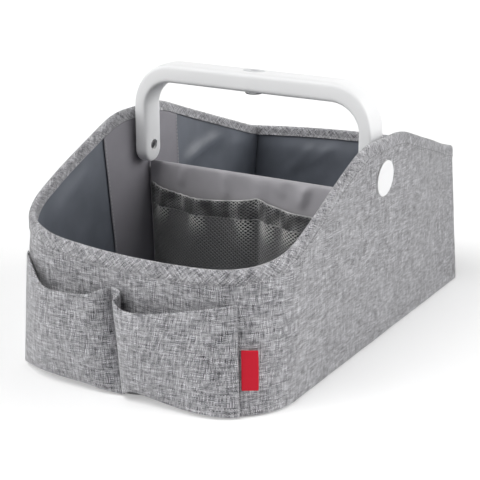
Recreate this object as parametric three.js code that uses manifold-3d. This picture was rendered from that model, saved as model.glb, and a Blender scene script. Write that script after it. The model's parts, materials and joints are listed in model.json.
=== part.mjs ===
// Nursery caddy: a fabric box with stiff boards in its walls, two front pockets,
// a divider that shifts along the side panels, and a swinging handle with a touch light.
// Millimetres, +Z up, the front faces -Y and the base stands on Z = 0.

import * as THREE from 'three';
import { mergeVertices } from 'three/addons/utils/BufferGeometryUtils.js';
import Module from 'manifold-3d';

const wasm = await Module();
wasm.setup();

// Body: sizes over the outer cloth at the base
const BODY_WIDTH = 240;
const BODY_LENGTH = 392;
const FRONT_CORNER_RADIUS = 56;
const BACK_CORNER_RADIUS = 6.5;
const SIDE_FLARE = 7.38; // how far a side wall leans out at the rim's peak
const BACK_NARROWING = 10.32; // how far a back corner leans in at the back rim
const BACK_BOW = 6; // the middle of the back rim stands this far out
const BOW_START = 18; // ahead of the back face, where the bow begins
const BOW_FULL = 7; // ahead of the back face, where the bow is whole

// Rim: heights of its top edge, and where its slopes begin and end
const RIM_FRONT_HEIGHT = 119;
const RIM_PEAK_HEIGHT = 184.5;
const RIM_BACK_HEIGHT = 129;
const RIM_FRONT_DIP = 2.5;
const RIM_BACK_RISE = 2.5;
const RISE_START = 19; // behind the front face
const FALL_END = 4; // ahead of the back face
const PEAK_LENGTH = 68; // level stretch over the pivot
const RIM_BEND = 18; // half the length of each rounded bend

// Wall layers, from outside to inside
const CLOTH = 1;
const BOARD = 2.2;
const LINING = 0.7;
const PANEL = 0.8;
const BASE_BOARD = 3;
const BINDING = 0.8;
const BINDING_WIDTH = 12;
const LAYER_GAP = 0.3;
const SEAM_GAP = 0.4;

// Handle pivot
const PIVOT_OFFSET = 2; // behind the middle of the body
const CAP_DIAMETER = 31;
const CAP_THICKNESS = 1;
const CAP_CROWN = 0.4;
const CAP_MARGIN = 7; // from the binding down to the cap
const POST_DIAMETER = 10;
const POST_CLEARANCE = 0.4; // in the wall layers
const PIVOT_CLEARANCE = 0.1; // in the handle
const WASHER_DIAMETER = 19;
const WASHER_THICKNESS = 1;
const SCREW_HEAD_DIAMETER = 7.2;
const SCREW_HEAD_HEIGHT = 2.5;
const SCREW_SHANK_DIAMETER = 3.5;
const SCREW_LENGTH = 15;
const SCREW_CLEARANCE = 0.3;
const RECESS_DEPTH = 4;
const RECESS_CLEARANCE = 0.8;
const PIVOT_LIP = 2; // web of the arm between post and screw head

// Handle
const HANDLE_REACH = 78.5; // pivot axis to the top of the crossbar
const HANDLE_DEPTH = 25; // front to back
const HANDLE_EDGE = 4;
const BAR_THICKNESS = 17.5;
const ARM_THICKNESS = 12.5;
const ARM_END_DROP = 16; // pivot axis to the end of the arm
const HANDLE_CORNER_OUTER = 40;
const HANDLE_CORNER_INNER = 26;

// Touch light in the crossbar
const BAR_SKIN = 2.5;
const PLATE_LENGTH = 95;
const PLATE_WIDTH = 16;
const PLATE_THICKNESS = 1.8;
const PLATE_SCREW_INSET = 5;
const PLATE_SCREW_HEAD = 4.6;
const PLATE_SCREW_SHANK = 2.4;
const PLATE_SCREW_LENGTH = 8;
const PLATE_SCREW_WEB = 0.5;
const CAVITY_WIDTH = 13;
const LENS_DIAMETER = 10;
const LENS_DROP = 3.5;
const LENS_WALL = 1.4;
const LENS_FLANGE = 1.2;
const RING_WIDTH = 2.6;
const RING_HEIGHT = 2;
const RING_BEVEL = 0.8;
const LED_DIAMETER = 5;
const LED_LENGTH = 2.8;
const CIRCUIT_LENGTH = 54;
const CIRCUIT_THICKNESS = 1.2;
const SWITCH_SIDE = 6;
const SWITCH_HEIGHT = 3.4;
const PLUNGER_DIAMETER = 3.4;
const PLUNGER_HEIGHT = 1.1;
const CELL_DIAMETER = 11.6;
const CELL_LENGTH = 5.4;
const CELL_COUNT = 3;
const CONTACT_SIDE = 9;
const CONTACT_THICKNESS = 0.5;
const BUTTON_LENGTH = 21;
const BUTTON_WIDTH = 12;
const BUTTON_PROUD = 0.4;
const BUTTON_TRAVEL = 1;
const BUTTON_FLANGE = 1.2;
const BUTTON_FLANGE_REACH = 1.5;
const BUTTON_STEM_DIAMETER = 5;
const BUTTON_CLEARANCE = 0.25;

// Divider with its mesh pocket
const DIVIDER_OFFSET = 11.5; // behind the pivot axis
const DIVIDER_CLEARANCE = 1.5; // below the ends of the arms
const DIVIDER_BOARD = 2;
const DIVIDER_CLOTH = 0.8;
const HOOK_STRIP_WIDTH = 20; // from the divider's front face to the back
const HOOK_STRIP_THICKNESS = 1.2;
const HOOK_STRIP_INSET = 8; // from the divider's top and bottom edges
const MESH = 0.8;
const MESH_DROP = 21; // from the divider's top to the mesh pocket's top
const MESH_SAG = 10;
const MESH_BULGE = 11;
const MESH_FOOT_BULGE = 6.6;
const MESH_FOOT_HEIGHT = 15;
const MESH_FULLNESS = 0.8; // below 1 each bay stays full closer to its seams
const MESH_HEM_HEIGHT = 16;
const MESH_INSET = 3;
const MESH_RAISE = 6; // from the divider's foot to the mesh pocket's foot

// Side panels that the divider's hook strips hold on to
const PANEL_WIDTH = 115;
const PANEL_OFFSET = 3.5; // behind the pivot axis
const PANEL_MARGIN = 1; // below the binding

// Front pockets and tab
const POCKET_JUNCTION = -8; // where the two pockets meet, across the front
const LEFT_POCKET_WIDTH = 112; // along the wall
const RIGHT_POCKET_WIDTH = 106;
const POCKET_DROP = 4.5; // below the binding
const POCKET_SAG = 13;
const POCKET_TOP_BULGE = 13;
const POCKET_FOOT_BULGE = 4;
const POCKET_FOOT_HEIGHT = 8;
const POCKET_FULLNESS = 0.7; // below 1 each pocket stays full closer to its ends
const POCKET_GAP = 0.5;
const TAB_WIDTH = 12.2;
const TAB_HEIGHT = 33.5;
const TAB_RAISE = 23.5;

// How finely curves are divided
const SIDE_STEPS = 16;
const FRONT_STEPS = 5;
const FRONT_ARC_STEPS = 9;
const BACK_ARC_STEPS = 4;
const BACK_STEPS = 8;
const POCKET_STEPS = 16;
const MESH_STEPS = 16;
const TAB_STEPS = 4;
const DOME_STEPS = 3;
const ROUND_STEPS = 24;
const SMALL_ROUND_STEPS = 14;
const SMALL_RADIUS = 4; // pieces no wider than this are divided less finely
const HANDLE_CORNER_STEPS = 7;
const HANDLE_EDGE_STEPS = 2;

const CUT_PAST = 1; // how far a cutting piece runs past the face that it cuts

const { lerp, smoothstep } = THREE.MathUtils;

// Places worked out from the sizes above
const halfWidth = BODY_WIDTH / 2;
const pocketReach = POCKET_GAP + POCKET_TOP_BULGE + CLOTH;
const bindingReach = LAYER_GAP + BINDING;
const backReach = BACK_BOW + bindingReach;
const frontY = (pocketReach - backReach - BODY_LENGTH) / 2;
const backY = frontY + BODY_LENGTH;
const pivotY = (frontY + backY) / 2 + PIVOT_OFFSET;
const pivotZ = RIM_PEAK_HEIGHT - BINDING_WIDTH - CAP_MARGIN - CAP_DIAMETER / 2;
const panelFrontY = pivotY + PANEL_OFFSET - PANEL_WIDTH / 2;
const panelBackY = panelFrontY + PANEL_WIDTH;
const frontRimLow = RIM_FRONT_HEIGHT - RIM_FRONT_DIP;
const backRimHigh = RIM_BACK_HEIGHT + RIM_BACK_RISE;

// Depths of the wall layers' faces behind the outside
const boardOut = CLOTH + LAYER_GAP;
const boardIn = boardOut + BOARD;
const liningOut = boardIn + LAYER_GAP;
const liningIn = liningOut + LINING;
const panelOut = liningIn + LAYER_GAP;
const panelIn = panelOut + PANEL;

// Heights of the floor layers
const wallFoot = CLOTH + LAYER_GAP;
const baseBoardTop = wallFoot + BASE_BOARD;
const liningFoot = baseBoardTop + LAYER_GAP;
const floorTop = liningFoot + LINING;

// Materials
const paint = (color, roughness, metalness = 0) =>
  new THREE.MeshStandardMaterial({ color, roughness, metalness });
const heather = paint(0xa4a4a5, 0.9);
const liningCloth = paint(0x555a63, 0.5);
const panelCloth = paint(0x78777b, 0.8);
const meshCloth = paint(0x2b2b2d, 0.8);
const redCloth = paint(0xcd1428, 0.7);
const stiffBoard = paint(0x3c3c3e, 0.8);
const whitePlastic = paint(0xf2f2f2, 0.35);
const palePlastic = paint(0xd6d6d8, 0.4);
const clearPlastic = paint(0xe8ecee, 0.1);
const chrome = paint(0xd0d2d4, 0.15, 1);
const steel = paint(0x8e9094, 0.35, 1);
const circuitGreen = paint(0x2d6a3e, 0.5);
const darkPlastic = paint(0x1d1d1f, 0.5);

const caddy = new THREE.Group();

function add(name, geometry, material) {
  const mesh = new THREE.Mesh(geometry, material);
  mesh.name = name;
  caddy.add(mesh);
}

// Solids

function bare(geometry) {
  geometry.deleteAttribute('normal');
  geometry.deleteAttribute('uv');
  return mergeVertices(geometry, 1e-4);
}

function signedVolume(geometry) {
  const points = geometry.attributes.position;
  const index = geometry.index.array;
  const [a, b, c] = [new THREE.Vector3(), new THREE.Vector3(), new THREE.Vector3()];
  let sum = 0;
  for (let i = 0; i < index.length; i += 3) {
    a.fromBufferAttribute(points, index[i]);
    b.fromBufferAttribute(points, index[i + 1]);
    c.fromBufferAttribute(points, index[i + 2]);
    sum += a.dot(b.cross(c)) / 6;
  }
  return sum;
}

// Merged, without collapsed triangles, and with its faces pointing out
function tidy(geometry) {
  const merged = bare(geometry);
  const faces = [];
  const index = merged.index.array;
  for (let i = 0; i < index.length; i += 3) {
    const [a, b, c] = [index[i], index[i + 1], index[i + 2]];
    if (a !== b && b !== c && c !== a) faces.push(a, b, c);
  }
  merged.setIndex(faces);
  if (signedVolume(merged) < 0) merged.setIndex(faces.reverse());
  return merged;
}

function toSolid(geometry) {
  const merged = tidy(geometry);
  const vertProperties = new Float32Array(merged.attributes.position.array);
  const triVerts = new Uint32Array(merged.index.array);
  return new wasm.Manifold(new wasm.Mesh({ numProp: 3, vertProperties, triVerts }));
}

function toGeometry(solid) {
  const { vertProperties, triVerts } = solid.getMesh();
  const geometry = new THREE.BufferGeometry();
  geometry.setAttribute('position', new THREE.BufferAttribute(vertProperties, 3));
  geometry.setIndex(Array.from(triVerts));
  return geometry;
}

const cut = (geometry, ...tools) =>
  toGeometry(tools.reduce((left, tool) => left.subtract(toSolid(tool)), toSolid(geometry)));
const join = (geometry, ...others) =>
  toGeometry(others.reduce((sum, other) => sum.add(toSolid(other)), toSolid(geometry)));

// A closed sheet between two facing grids of points, outer[i][k] and inner[i][k]
function thickSheet(outer, inner) {
  const rows = outer.length;
  const cols = outer[0].length;
  const out = (i, k) => i * cols + k;
  const inn = (i, k) => rows * cols + i * cols + k;
  const faces = [];
  const quad = (a, b, c, d) => faces.push(a, b, c, a, c, d);
  for (let i = 0; i < rows - 1; i += 1) {
    for (let k = 0; k < cols - 1; k += 1) {
      quad(out(i, k), out(i + 1, k), out(i + 1, k + 1), out(i, k + 1));
      quad(inn(i, k), inn(i, k + 1), inn(i + 1, k + 1), inn(i + 1, k));
    }
    quad(out(i, 0), inn(i, 0), inn(i + 1, 0), out(i + 1, 0));
    quad(out(i, cols - 1), out(i + 1, cols - 1), inn(i + 1, cols - 1), inn(i, cols - 1));
  }
  for (let k = 0; k < cols - 1; k += 1) {
    const last = rows - 1;
    quad(out(0, k), out(0, k + 1), inn(0, k + 1), inn(0, k));
    quad(out(last, k), inn(last, k), inn(last, k + 1), out(last, k + 1));
  }
  const geometry = new THREE.BufferGeometry();
  geometry.setFromPoints([...outer.flat(), ...inner.flat()]);
  geometry.setIndex(faces);
  return tidy(geometry);
}

// A turned piece from [radius, height] pairs, about +Z or about X
function turned(profile, axis = 'z') {
  const points = profile.map(([radius, height]) => new THREE.Vector2(radius, height));
  const widest = Math.max(...profile.map(([radius]) => radius));
  const steps = widest > SMALL_RADIUS ? ROUND_STEPS : SMALL_ROUND_STEPS;
  const geometry = tidy(new THREE.LatheGeometry(points, steps));
  return axis === 'z' ? geometry.rotateX(Math.PI / 2) : geometry.rotateZ(-Math.PI / 2);
}

const rod = (radius, from, to, axis) =>
  turned([[0, from], [radius, from], [radius, to], [0, to]], axis);

// Profile of a dome that hangs from a height, from its tip on the axis to its widest ring
function domeProfile(radius, height, drop) {
  return Array.from({ length: DOME_STEPS + 1 }, (_, i) => {
    const angle = (i / DOME_STEPS) * (Math.PI / 2);
    return [radius * Math.sin(angle), height - drop * Math.cos(angle)];
  });
}

function box(low, high) {
  const size = high.map((value, i) => value - low[i]);
  const middle = high.map((value, i) => (value + low[i]) / 2);
  return new THREE.BoxGeometry(...size).translate(...middle);
}

// An outline drawn in plan, raised from one height to another
function raised(shape, from, to) {
  const settings = { depth: to - from, bevelEnabled: false, curveSegments: ROUND_STEPS / 2 };
  return new THREE.ExtrudeGeometry(shape, settings).translate(0, 0, from);
}

function ellipse(length, width) {
  const shape = new THREE.Shape();
  return shape.absellipse(0, 0, length / 2, width / 2, 0, 2 * Math.PI);
}

// Wall surface

// A ramp that starts from level ground through a rounded bend
function softRamp(distance) {
  if (distance <= -RIM_BEND) return 0;
  if (distance >= RIM_BEND) return distance;
  return (distance + RIM_BEND) ** 2 / (4 * RIM_BEND);
}

function rimHeight(x, y) {
  const [riseFrom, riseTo] = [frontY + RISE_START, pivotY - PEAK_LENGTH / 2];
  const [fallFrom, fallTo] = [pivotY + PEAK_LENGTH / 2, backY - FALL_END];
  const rise = (RIM_PEAK_HEIGHT - RIM_FRONT_HEIGHT) / (riseTo - riseFrom);
  const fall = (RIM_PEAK_HEIGHT - RIM_BACK_HEIGHT) / (fallTo - fallFrom);
  const climbed = rise * (softRamp(y - riseFrom) - softRamp(y - riseTo));
  const dropped = fall * (softRamp(y - fallFrom) - softRamp(y - fallTo));
  const middle = 1 - (x / halfWidth) ** 2;
  const sag = y < pivotY ? -RIM_FRONT_DIP : RIM_BACK_RISE;
  return RIM_FRONT_HEIGHT + climbed - dropped + sag * middle;
}

// Moves an upright point to the leaning, bowed wall
function lean(x, y, z) {
  const across = x / halfWidth;
  const [outward, inward] = [SIDE_FLARE / RIM_PEAK_HEIGHT, BACK_NARROWING / RIM_BACK_HEIGHT];
  const slope = lerp(outward, -inward, smoothstep(y, panelBackY, backY));
  const behind = smoothstep(y, backY - BOW_START, backY - BOW_FULL);
  const bow = BACK_BOW * behind * (1 - across ** 2) * (z / backRimHigh);
  return new THREE.Vector3(x + slope * z * across, y + bow, z);
}

// Distance of a wall face from the middle, at the handle and the divider
const wallFace = (depth, z) => lean(halfWidth - depth, pivotY, z).x;

function leaned(geometry) {
  const points = geometry.attributes.position;
  for (let i = 0; i < points.count; i += 1) {
    const moved = lean(points.getX(i), points.getY(i), points.getZ(i));
    points.setXYZ(i, moved.x, moved.y, moved.z);
  }
  return geometry;
}

// Plan of the outer cloth: the wrap runs from one back corner round the front to the other
function wrapPath() {
  const [rf, rb] = [FRONT_CORNER_RADIUS, BACK_CORNER_RADIUS];
  const path = new THREE.Path();
  path.absarc(rb - halfWidth, backY - rb, rb, Math.PI / 2, Math.PI);
  path.absarc(rf - halfWidth, frontY + rf, rf, Math.PI, 1.5 * Math.PI);
  path.absarc(halfWidth - rf, frontY + rf, rf, 1.5 * Math.PI, 2 * Math.PI);
  path.absarc(halfWidth - rb, backY - rb, rb, 0, Math.PI / 2);
  return path;
}

const wrap = wrapPath();
const [, leftSide, leftArc, frontSide, rightArc, rightSide] = wrap.curves;

// A place on the plan with its outward normal and the rim's height there
function station(curve, t) {
  const { x, y } = curve.getPoint(t);
  const tangent = curve.getTangent(t);
  return { x, y, nx: tangent.y, ny: -tangent.x, rim: rimHeight(x, y) };
}

const at = ({ x, y, nx, ny }, depth, z) => lean(x - nx * depth, y - ny * depth, z);

function stationsOf(curve, steps) {
  return Array.from({ length: steps + 1 }, (_, i) => station(curve, i / steps));
}

const stepsFor = (curve) => {
  if (curve === leftSide || curve === rightSide) return SIDE_STEPS;
  if (curve === frontSide) return FRONT_STEPS;
  return curve === leftArc || curve === rightArc ? FRONT_ARC_STEPS : BACK_ARC_STEPS;
};

// Neighbouring curves share an end, so all but the first leave their first place out
function chain(curves) {
  return curves.flatMap((curve, i) => stationsOf(curve, stepsFor(curve)).slice(i > 0 ? 1 : 0));
}

// The same chain with a seam's gap taken off both ends
function seamed(curves) {
  const places = chain(curves);
  const shift = (place, sign) => {
    place.x -= sign * place.ny * SEAM_GAP;
    place.y += sign * place.nx * SEAM_GAP;
  };
  shift(places[0], 1);
  shift(places.at(-1), -1);
  return places;
}

const wrapPlaces = chain(wrap.curves);
const backLine = new THREE.LineCurve(
  new THREE.Vector2(halfWidth - BACK_CORNER_RADIUS - SEAM_GAP, backY),
  new THREE.Vector2(BACK_CORNER_RADIUS + SEAM_GAP - halfWidth, backY),
);
const backPlaces = stationsOf(backLine, BACK_STEPS);

const layerTop = (place) => place.rim - BINDING - LAYER_GAP;

function wallLayer(places, outside, inside, foot, top = layerTop) {
  const face = (depth) => places.map((p) => [at(p, depth, foot), at(p, depth, top(p))]);
  return thickSheet(face(outside), face(inside));
}

function bindingStrip(places) {
  const [out, inn] = [-LAYER_GAP, liningIn + LAYER_GAP];
  const round = BINDING + LAYER_GAP;
  const outer = places.map((p) => [
    at(p, out - BINDING, p.rim - BINDING_WIDTH),
    at(p, out - BINDING, p.rim - round),
    at(p, out - BINDING + round, p.rim),
    at(p, inn + BINDING - round, p.rim),
    at(p, inn + BINDING, p.rim - round),
    at(p, inn + BINDING, p.rim - BINDING_WIDTH),
  ]);
  const inner = places.map((p) => [
    at(p, out, p.rim - BINDING_WIDTH),
    at(p, out, p.rim - BINDING - LAYER_GAP / 2),
    at(p, out + LAYER_GAP, p.rim - BINDING),
    at(p, inn - LAYER_GAP, p.rim - BINDING),
    at(p, inn, p.rim - BINDING - LAYER_GAP / 2),
    at(p, inn, p.rim - BINDING_WIDTH),
  ]);
  return thickSheet(outer, inner);
}

function floorLayer(depth, from, to) {
  const corners = wrapPlaces.map(({ x, y, nx, ny }) =>
    new THREE.Vector2(x - nx * depth, y - ny * depth));
  return leaned(tidy(raised(new THREE.Shape(corners), from, to)));
}

// Hole for the pivot posts, straight across the body
function postHole() {
  const hole = rod(POST_DIAMETER / 2 + POST_CLEARANCE, -BODY_WIDTH, BODY_WIDTH, 'x');
  return hole.translate(0, pivotY, pivotZ);
}

function buildWalls() {
  const leftCurves = wrap.curves.slice(0, 2);
  const frontCurves = [leftArc, frontSide, rightArc];
  const rightCurves = wrap.curves.slice(5);
  const wrapLayer = (outside, inside, foot) => wallLayer(wrapPlaces, outside, inside, foot);

  add('outer_wrap', cut(wrapLayer(0, CLOTH, wallFoot), postHole()), heather);
  add('back_panel', wallLayer(backPlaces, 0, CLOTH, wallFoot), heather);
  add('base_panel', floorLayer(0, 0, CLOTH), heather);
  add('rim_binding', bindingStrip(wrapPlaces), heather);
  add('back_binding', bindingStrip(backPlaces), heather);

  const board = (curves) => wallLayer(seamed(curves), boardOut, boardIn, wallFoot);
  add('left_board', cut(board(leftCurves), postHole()), stiffBoard);
  add('front_board', board(frontCurves), stiffBoard);
  add('right_board', cut(board(rightCurves), postHole()), stiffBoard);
  add('back_board', wallLayer(backPlaces, boardOut, boardIn, wallFoot), stiffBoard);
  add('base_board', floorLayer(boardIn + LAYER_GAP, wallFoot, baseBoardTop), stiffBoard);

  add('wrap_lining', cut(wrapLayer(liningOut, liningIn, liningFoot), postHole()), liningCloth);
  add('back_lining', wallLayer(backPlaces, liningOut, liningIn, liningFoot), liningCloth);
  add('base_lining', floorLayer(liningIn + LAYER_GAP, liningFoot, floorTop), liningCloth);
}

function buildSidePanels() {
  const foot = floorTop + LAYER_GAP;
  const top = (place) => place.rim - BINDING_WIDTH - PANEL_MARGIN;
  for (const [name, side] of [['left_side_panel', -1], ['right_side_panel', 1]]) {
    const ends = [panelBackY, panelFrontY].map((y) => new THREE.Vector2(side * halfWidth, y));
    const line = new THREE.LineCurve(...(side < 0 ? ends : ends.reverse()));
    const panel = wallLayer(stationsOf(line, SIDE_STEPS / 2), panelOut, panelIn, foot, top);
    add(name, cut(panel, postHole()), panelCloth);
  }
}

// Front pockets, as sheets that belly out from the wall between two sewn ends

// Distance along the wrap at which the front's middle lies
const frontMiddle = wrap.getCurveLengths()[2] + frontSide.getLength() / 2;

const wrapStation = (distance) => station(wrap, distance / wrap.getLength());

function pocketSheet(from, to, top) {
  const places = Array.from({ length: POCKET_STEPS + 1 }, (_, i) => {
    const share = i / POCKET_STEPS;
    const fullness = Math.sin(Math.PI * share) ** POCKET_FULLNESS;
    return { ...wrapStation(lerp(from, to, share)), fullness };
  });
  const face = (thickness) => places.map((place) => {
    const high = top - POCKET_SAG * place.fullness;
    const rows = [
      [wallFoot, 0],
      [wallFoot + POCKET_FOOT_HEIGHT, POCKET_FOOT_BULGE],
      [(wallFoot + high) / 2, (POCKET_FOOT_BULGE + POCKET_TOP_BULGE) / 2],
      [high, POCKET_TOP_BULGE],
    ];
    return rows.map(([z, bulge]) =>
      at(place, -(POCKET_GAP + bulge * place.fullness + thickness), z));
  });
  return thickSheet(face(CLOTH), face(0));
}

function buildPockets() {
  const top = frontRimLow - BINDING_WIDTH - POCKET_DROP;
  const junction = frontMiddle + POCKET_JUNCTION;
  const leftEnd = junction - LEFT_POCKET_WIDTH;
  const rightEnd = junction + RIGHT_POCKET_WIDTH;
  add('left_pocket', pocketSheet(leftEnd, junction - SEAM_GAP, top), heather);
  add('right_pocket', pocketSheet(junction + SEAM_GAP, rightEnd, top), heather);

  const tabFrom = rightEnd + POCKET_GAP;
  const tabPlaces = Array.from({ length: TAB_STEPS + 1 }, (_, i) =>
    wrapStation(tabFrom + (i / TAB_STEPS) * TAB_WIDTH));
  const tabTop = () => TAB_RAISE + TAB_HEIGHT;
  const tab = wallLayer(tabPlaces, -POCKET_GAP - CLOTH, -POCKET_GAP, TAB_RAISE, tabTop);
  add('red_tab', tab, redCloth);
}

// Handle pivots

const washerOut = wallFace(panelIn, pivotZ - WASHER_DIAMETER / 2) - LAYER_GAP;
const armOut = washerOut - WASHER_THICKNESS - LAYER_GAP;
const armIn = armOut - ARM_THICKNESS;
const capIn = wallFace(0, pivotZ + CAP_DIAMETER / 2) + LAYER_GAP;
const recessRadius = SCREW_HEAD_DIAMETER / 2 + RECESS_CLEARANCE;
const recessFloor = armIn + RECESS_DEPTH;
const postBoreEnd = recessFloor + PIVOT_LIP;

// Puts a piece made about +X at the origin onto the left or right pivot
function onPivot(geometry, side) {
  const placed = side > 0 ? geometry : geometry.rotateZ(Math.PI);
  return placed.translate(0, pivotY, pivotZ);
}

function pivotCap() {
  const [cap, post] = [CAP_DIAMETER / 2, POST_DIAMETER / 2];
  const postEnd = postBoreEnd + LAYER_GAP;
  const pilot = SCREW_SHANK_DIAMETER / 2 + SCREW_CLEARANCE;
  const pilotEnd = recessFloor + SCREW_LENGTH;
  const rim = capIn + CAP_THICKNESS;
  return turned([
    [0, pilotEnd], [pilot, pilotEnd], [pilot, postEnd], [post, postEnd], [post, capIn],
    [cap, capIn], [cap, rim - CAP_CROWN], [cap - CAP_CROWN, rim], [0, rim + CAP_CROWN],
  ], 'x');
}

function pivotScrew() {
  const [head, shank] = [SCREW_HEAD_DIAMETER / 2, SCREW_SHANK_DIAMETER / 2];
  const seat = recessFloor - LAYER_GAP;
  const tip = seat + SCREW_LENGTH;
  return turned([
    [0, seat - SCREW_HEAD_HEIGHT], [head, seat - SCREW_HEAD_HEIGHT], [head, seat],
    [shank, seat], [shank, tip - shank], [0, tip],
  ], 'x');
}

function pivotWasher() {
  const [inside, outside] = [POST_DIAMETER / 2 + POST_CLEARANCE, WASHER_DIAMETER / 2];
  const near = washerOut - WASHER_THICKNESS;
  return turned([
    [inside, near], [outside, near], [outside, washerOut], [inside, washerOut], [inside, near],
  ], 'x');
}

function buildPivots() {
  for (const [name, side] of [['left', -1], ['right', 1]]) {
    add(`${name}_pivot_cap`, onPivot(pivotCap(), side), whitePlastic);
    add(`${name}_pivot_washer`, onPivot(pivotWasher(), side), palePlastic);
    add(`${name}_pivot_screw`, onPivot(pivotScrew(), side), steel);
  }
}

// Handle with the touch light

const barTop = pivotZ + HANDLE_REACH;
const barFoot = barTop - BAR_THICKNESS;
const plateTop = barFoot + PLATE_THICKNESS;
const cavityFoot = plateTop + LAYER_GAP;
const cavityTop = barTop - BAR_SKIN;
const flangeTop = cavityFoot + LENS_FLANGE;
const circuitFoot = flangeTop + LAYER_GAP;
const circuitTop = circuitFoot + CIRCUIT_THICKNESS;
const switchTop = circuitTop + LAYER_GAP + SWITCH_HEIGHT;
const plungerTop = switchTop + PLUNGER_HEIGHT;
const cellPitch = CELL_LENGTH + LAYER_GAP;
const bayLength = CELL_COUNT * cellPitch + 2 * (CONTACT_THICKNESS + LAYER_GAP) + LAYER_GAP;
const cavityHalf = (CIRCUIT_LENGTH + LAYER_GAP + bayLength) / 2;
const bayFrom = cavityHalf - bayLength;
const plateScrewX = PLATE_LENGTH / 2 - PLATE_SCREW_INSET;

// The handle's outline seen from the front
function handleShape() {
  const [ro, ri] = [HANDLE_CORNER_OUTER, HANDLE_CORNER_INNER];
  const armFoot = pivotZ - ARM_END_DROP;
  const shape = new THREE.Shape();
  shape.moveTo(armOut, armFoot);
  shape.lineTo(armOut, barTop - ro);
  shape.absarc(armOut - ro, barTop - ro, ro, 0, Math.PI / 2);
  shape.absarc(ro - armOut, barTop - ro, ro, Math.PI / 2, Math.PI);
  shape.lineTo(-armOut, armFoot);
  shape.lineTo(-armIn, armFoot);
  shape.absarc(ri - armIn, barFoot - ri, ri, Math.PI, Math.PI / 2, true);
  shape.absarc(armIn - ri, barFoot - ri, ri, Math.PI / 2, 0, true);
  shape.lineTo(armIn, armFoot);
  return shape;
}

// Block seen from the side, with the round arm ends at its foot
function roundEndBlock() {
  const radius = HANDLE_DEPTH / 2;
  const middle = pivotZ - ARM_END_DROP + radius;
  const shape = new THREE.Shape();
  shape.absarc(pivotY, middle, radius, Math.PI, 2 * Math.PI);
  shape.lineTo(pivotY + HANDLE_DEPTH, middle);
  shape.lineTo(pivotY + HANDLE_DEPTH, barTop + HANDLE_DEPTH);
  shape.lineTo(pivotY - HANDLE_DEPTH, barTop + HANDLE_DEPTH);
  shape.lineTo(pivotY - HANDLE_DEPTH, middle);
  const block = raised(shape, -BODY_WIDTH, BODY_WIDTH);
  return block.rotateX(Math.PI / 2).rotateZ(Math.PI / 2);
}

// Bore for the post, web and screw recess in one arm
function armBore(side) {
  const bore = POST_DIAMETER / 2 + PIVOT_CLEARANCE;
  const web = SCREW_SHANK_DIAMETER / 2 + SCREW_CLEARANCE;
  const [from, to] = [armIn - ARM_THICKNESS, armOut + ARM_THICKNESS];
  return onPivot(turned([
    [0, from], [recessRadius, from], [recessRadius, recessFloor], [web, recessFloor],
    [web, postBoreEnd], [bore, postBoreEnd], [bore, to], [0, to],
  ], 'x'), side);
}

function handleFrame() {
  const settings = {
    depth: HANDLE_DEPTH - 2 * HANDLE_EDGE,
    bevelThickness: HANDLE_EDGE,
    bevelSize: HANDLE_EDGE,
    bevelOffset: -HANDLE_EDGE,
    bevelSegments: HANDLE_EDGE_STEPS,
    curveSegments: HANDLE_CORNER_STEPS,
  };
  const bow = new THREE.ExtrudeGeometry(handleShape(), settings);
  bow.rotateX(Math.PI / 2).translate(0, pivotY + settings.depth / 2, 0);
  const rounded = toGeometry(toSolid(bow).intersect(toSolid(roundEndBlock())));

  const rebateX = PLATE_LENGTH / 2 + LAYER_GAP;
  const rebateY = PLATE_WIDTH / 2 + LAYER_GAP;
  const below = barFoot - BAR_THICKNESS;
  const rebate = box([-rebateX, pivotY - rebateY, below], [rebateX, pivotY + rebateY, cavityFoot]);
  const cavity = box(
    [-cavityHalf, pivotY - CAVITY_WIDTH / 2, below],
    [cavityHalf, pivotY + CAVITY_WIDTH / 2, cavityTop],
  );
  const buttonHole = raised(
    ellipse(BUTTON_LENGTH + 2 * BUTTON_CLEARANCE, BUTTON_WIDTH + 2 * BUTTON_CLEARANCE),
    cavityTop - BAR_SKIN,
    barTop + BAR_SKIN,
  ).translate(0, pivotY, 0);
  const pilotRadius = PLATE_SCREW_SHANK / 2 + SCREW_CLEARANCE;
  const pilotTop = barFoot + PLATE_SCREW_LENGTH + SCREW_CLEARANCE;
  const pilots = [-plateScrewX, plateScrewX].map((x) =>
    rod(pilotRadius, below, pilotTop, 'z').translate(x, pivotY, 0));
  return cut(rounded, rebate, cavity, buttonHole, ...pilots, armBore(-1), armBore(1));
}

function lightPlate() {
  const [x, y] = [PLATE_LENGTH / 2, PLATE_WIDTH / 2];
  const plate = box([-x, pivotY - y, barFoot], [x, pivotY + y, plateTop]);
  const [below, above] = [barFoot - CUT_PAST, plateTop + CUT_PAST];
  const lensHole = rod(LENS_DIAMETER / 2 + LAYER_GAP, below, above, 'z');
  const headRadius = PLATE_SCREW_HEAD / 2 + SCREW_CLEARANCE;
  const shankRadius = PLATE_SCREW_SHANK / 2 + SCREW_CLEARANCE;
  const counterbores = [-plateScrewX, plateScrewX].flatMap((screwX) => [
    rod(headRadius, below, plateTop - PLATE_SCREW_WEB, 'z').translate(screwX, pivotY, 0),
    rod(shankRadius, below, above, 'z').translate(screwX, pivotY, 0),
  ]);
  return cut(plate, lensHole.translate(0, pivotY, 0), ...counterbores);
}

function plateScrew() {
  const [head, shank] = [PLATE_SCREW_HEAD / 2, PLATE_SCREW_SHANK / 2];
  const seat = plateTop - PLATE_SCREW_WEB - LAYER_GAP;
  const tip = barFoot + PLATE_SCREW_LENGTH;
  return turned([
    [0, barFoot], [head, barFoot], [head, seat], [shank, seat], [shank, tip - shank], [0, tip],
  ]);
}

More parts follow.
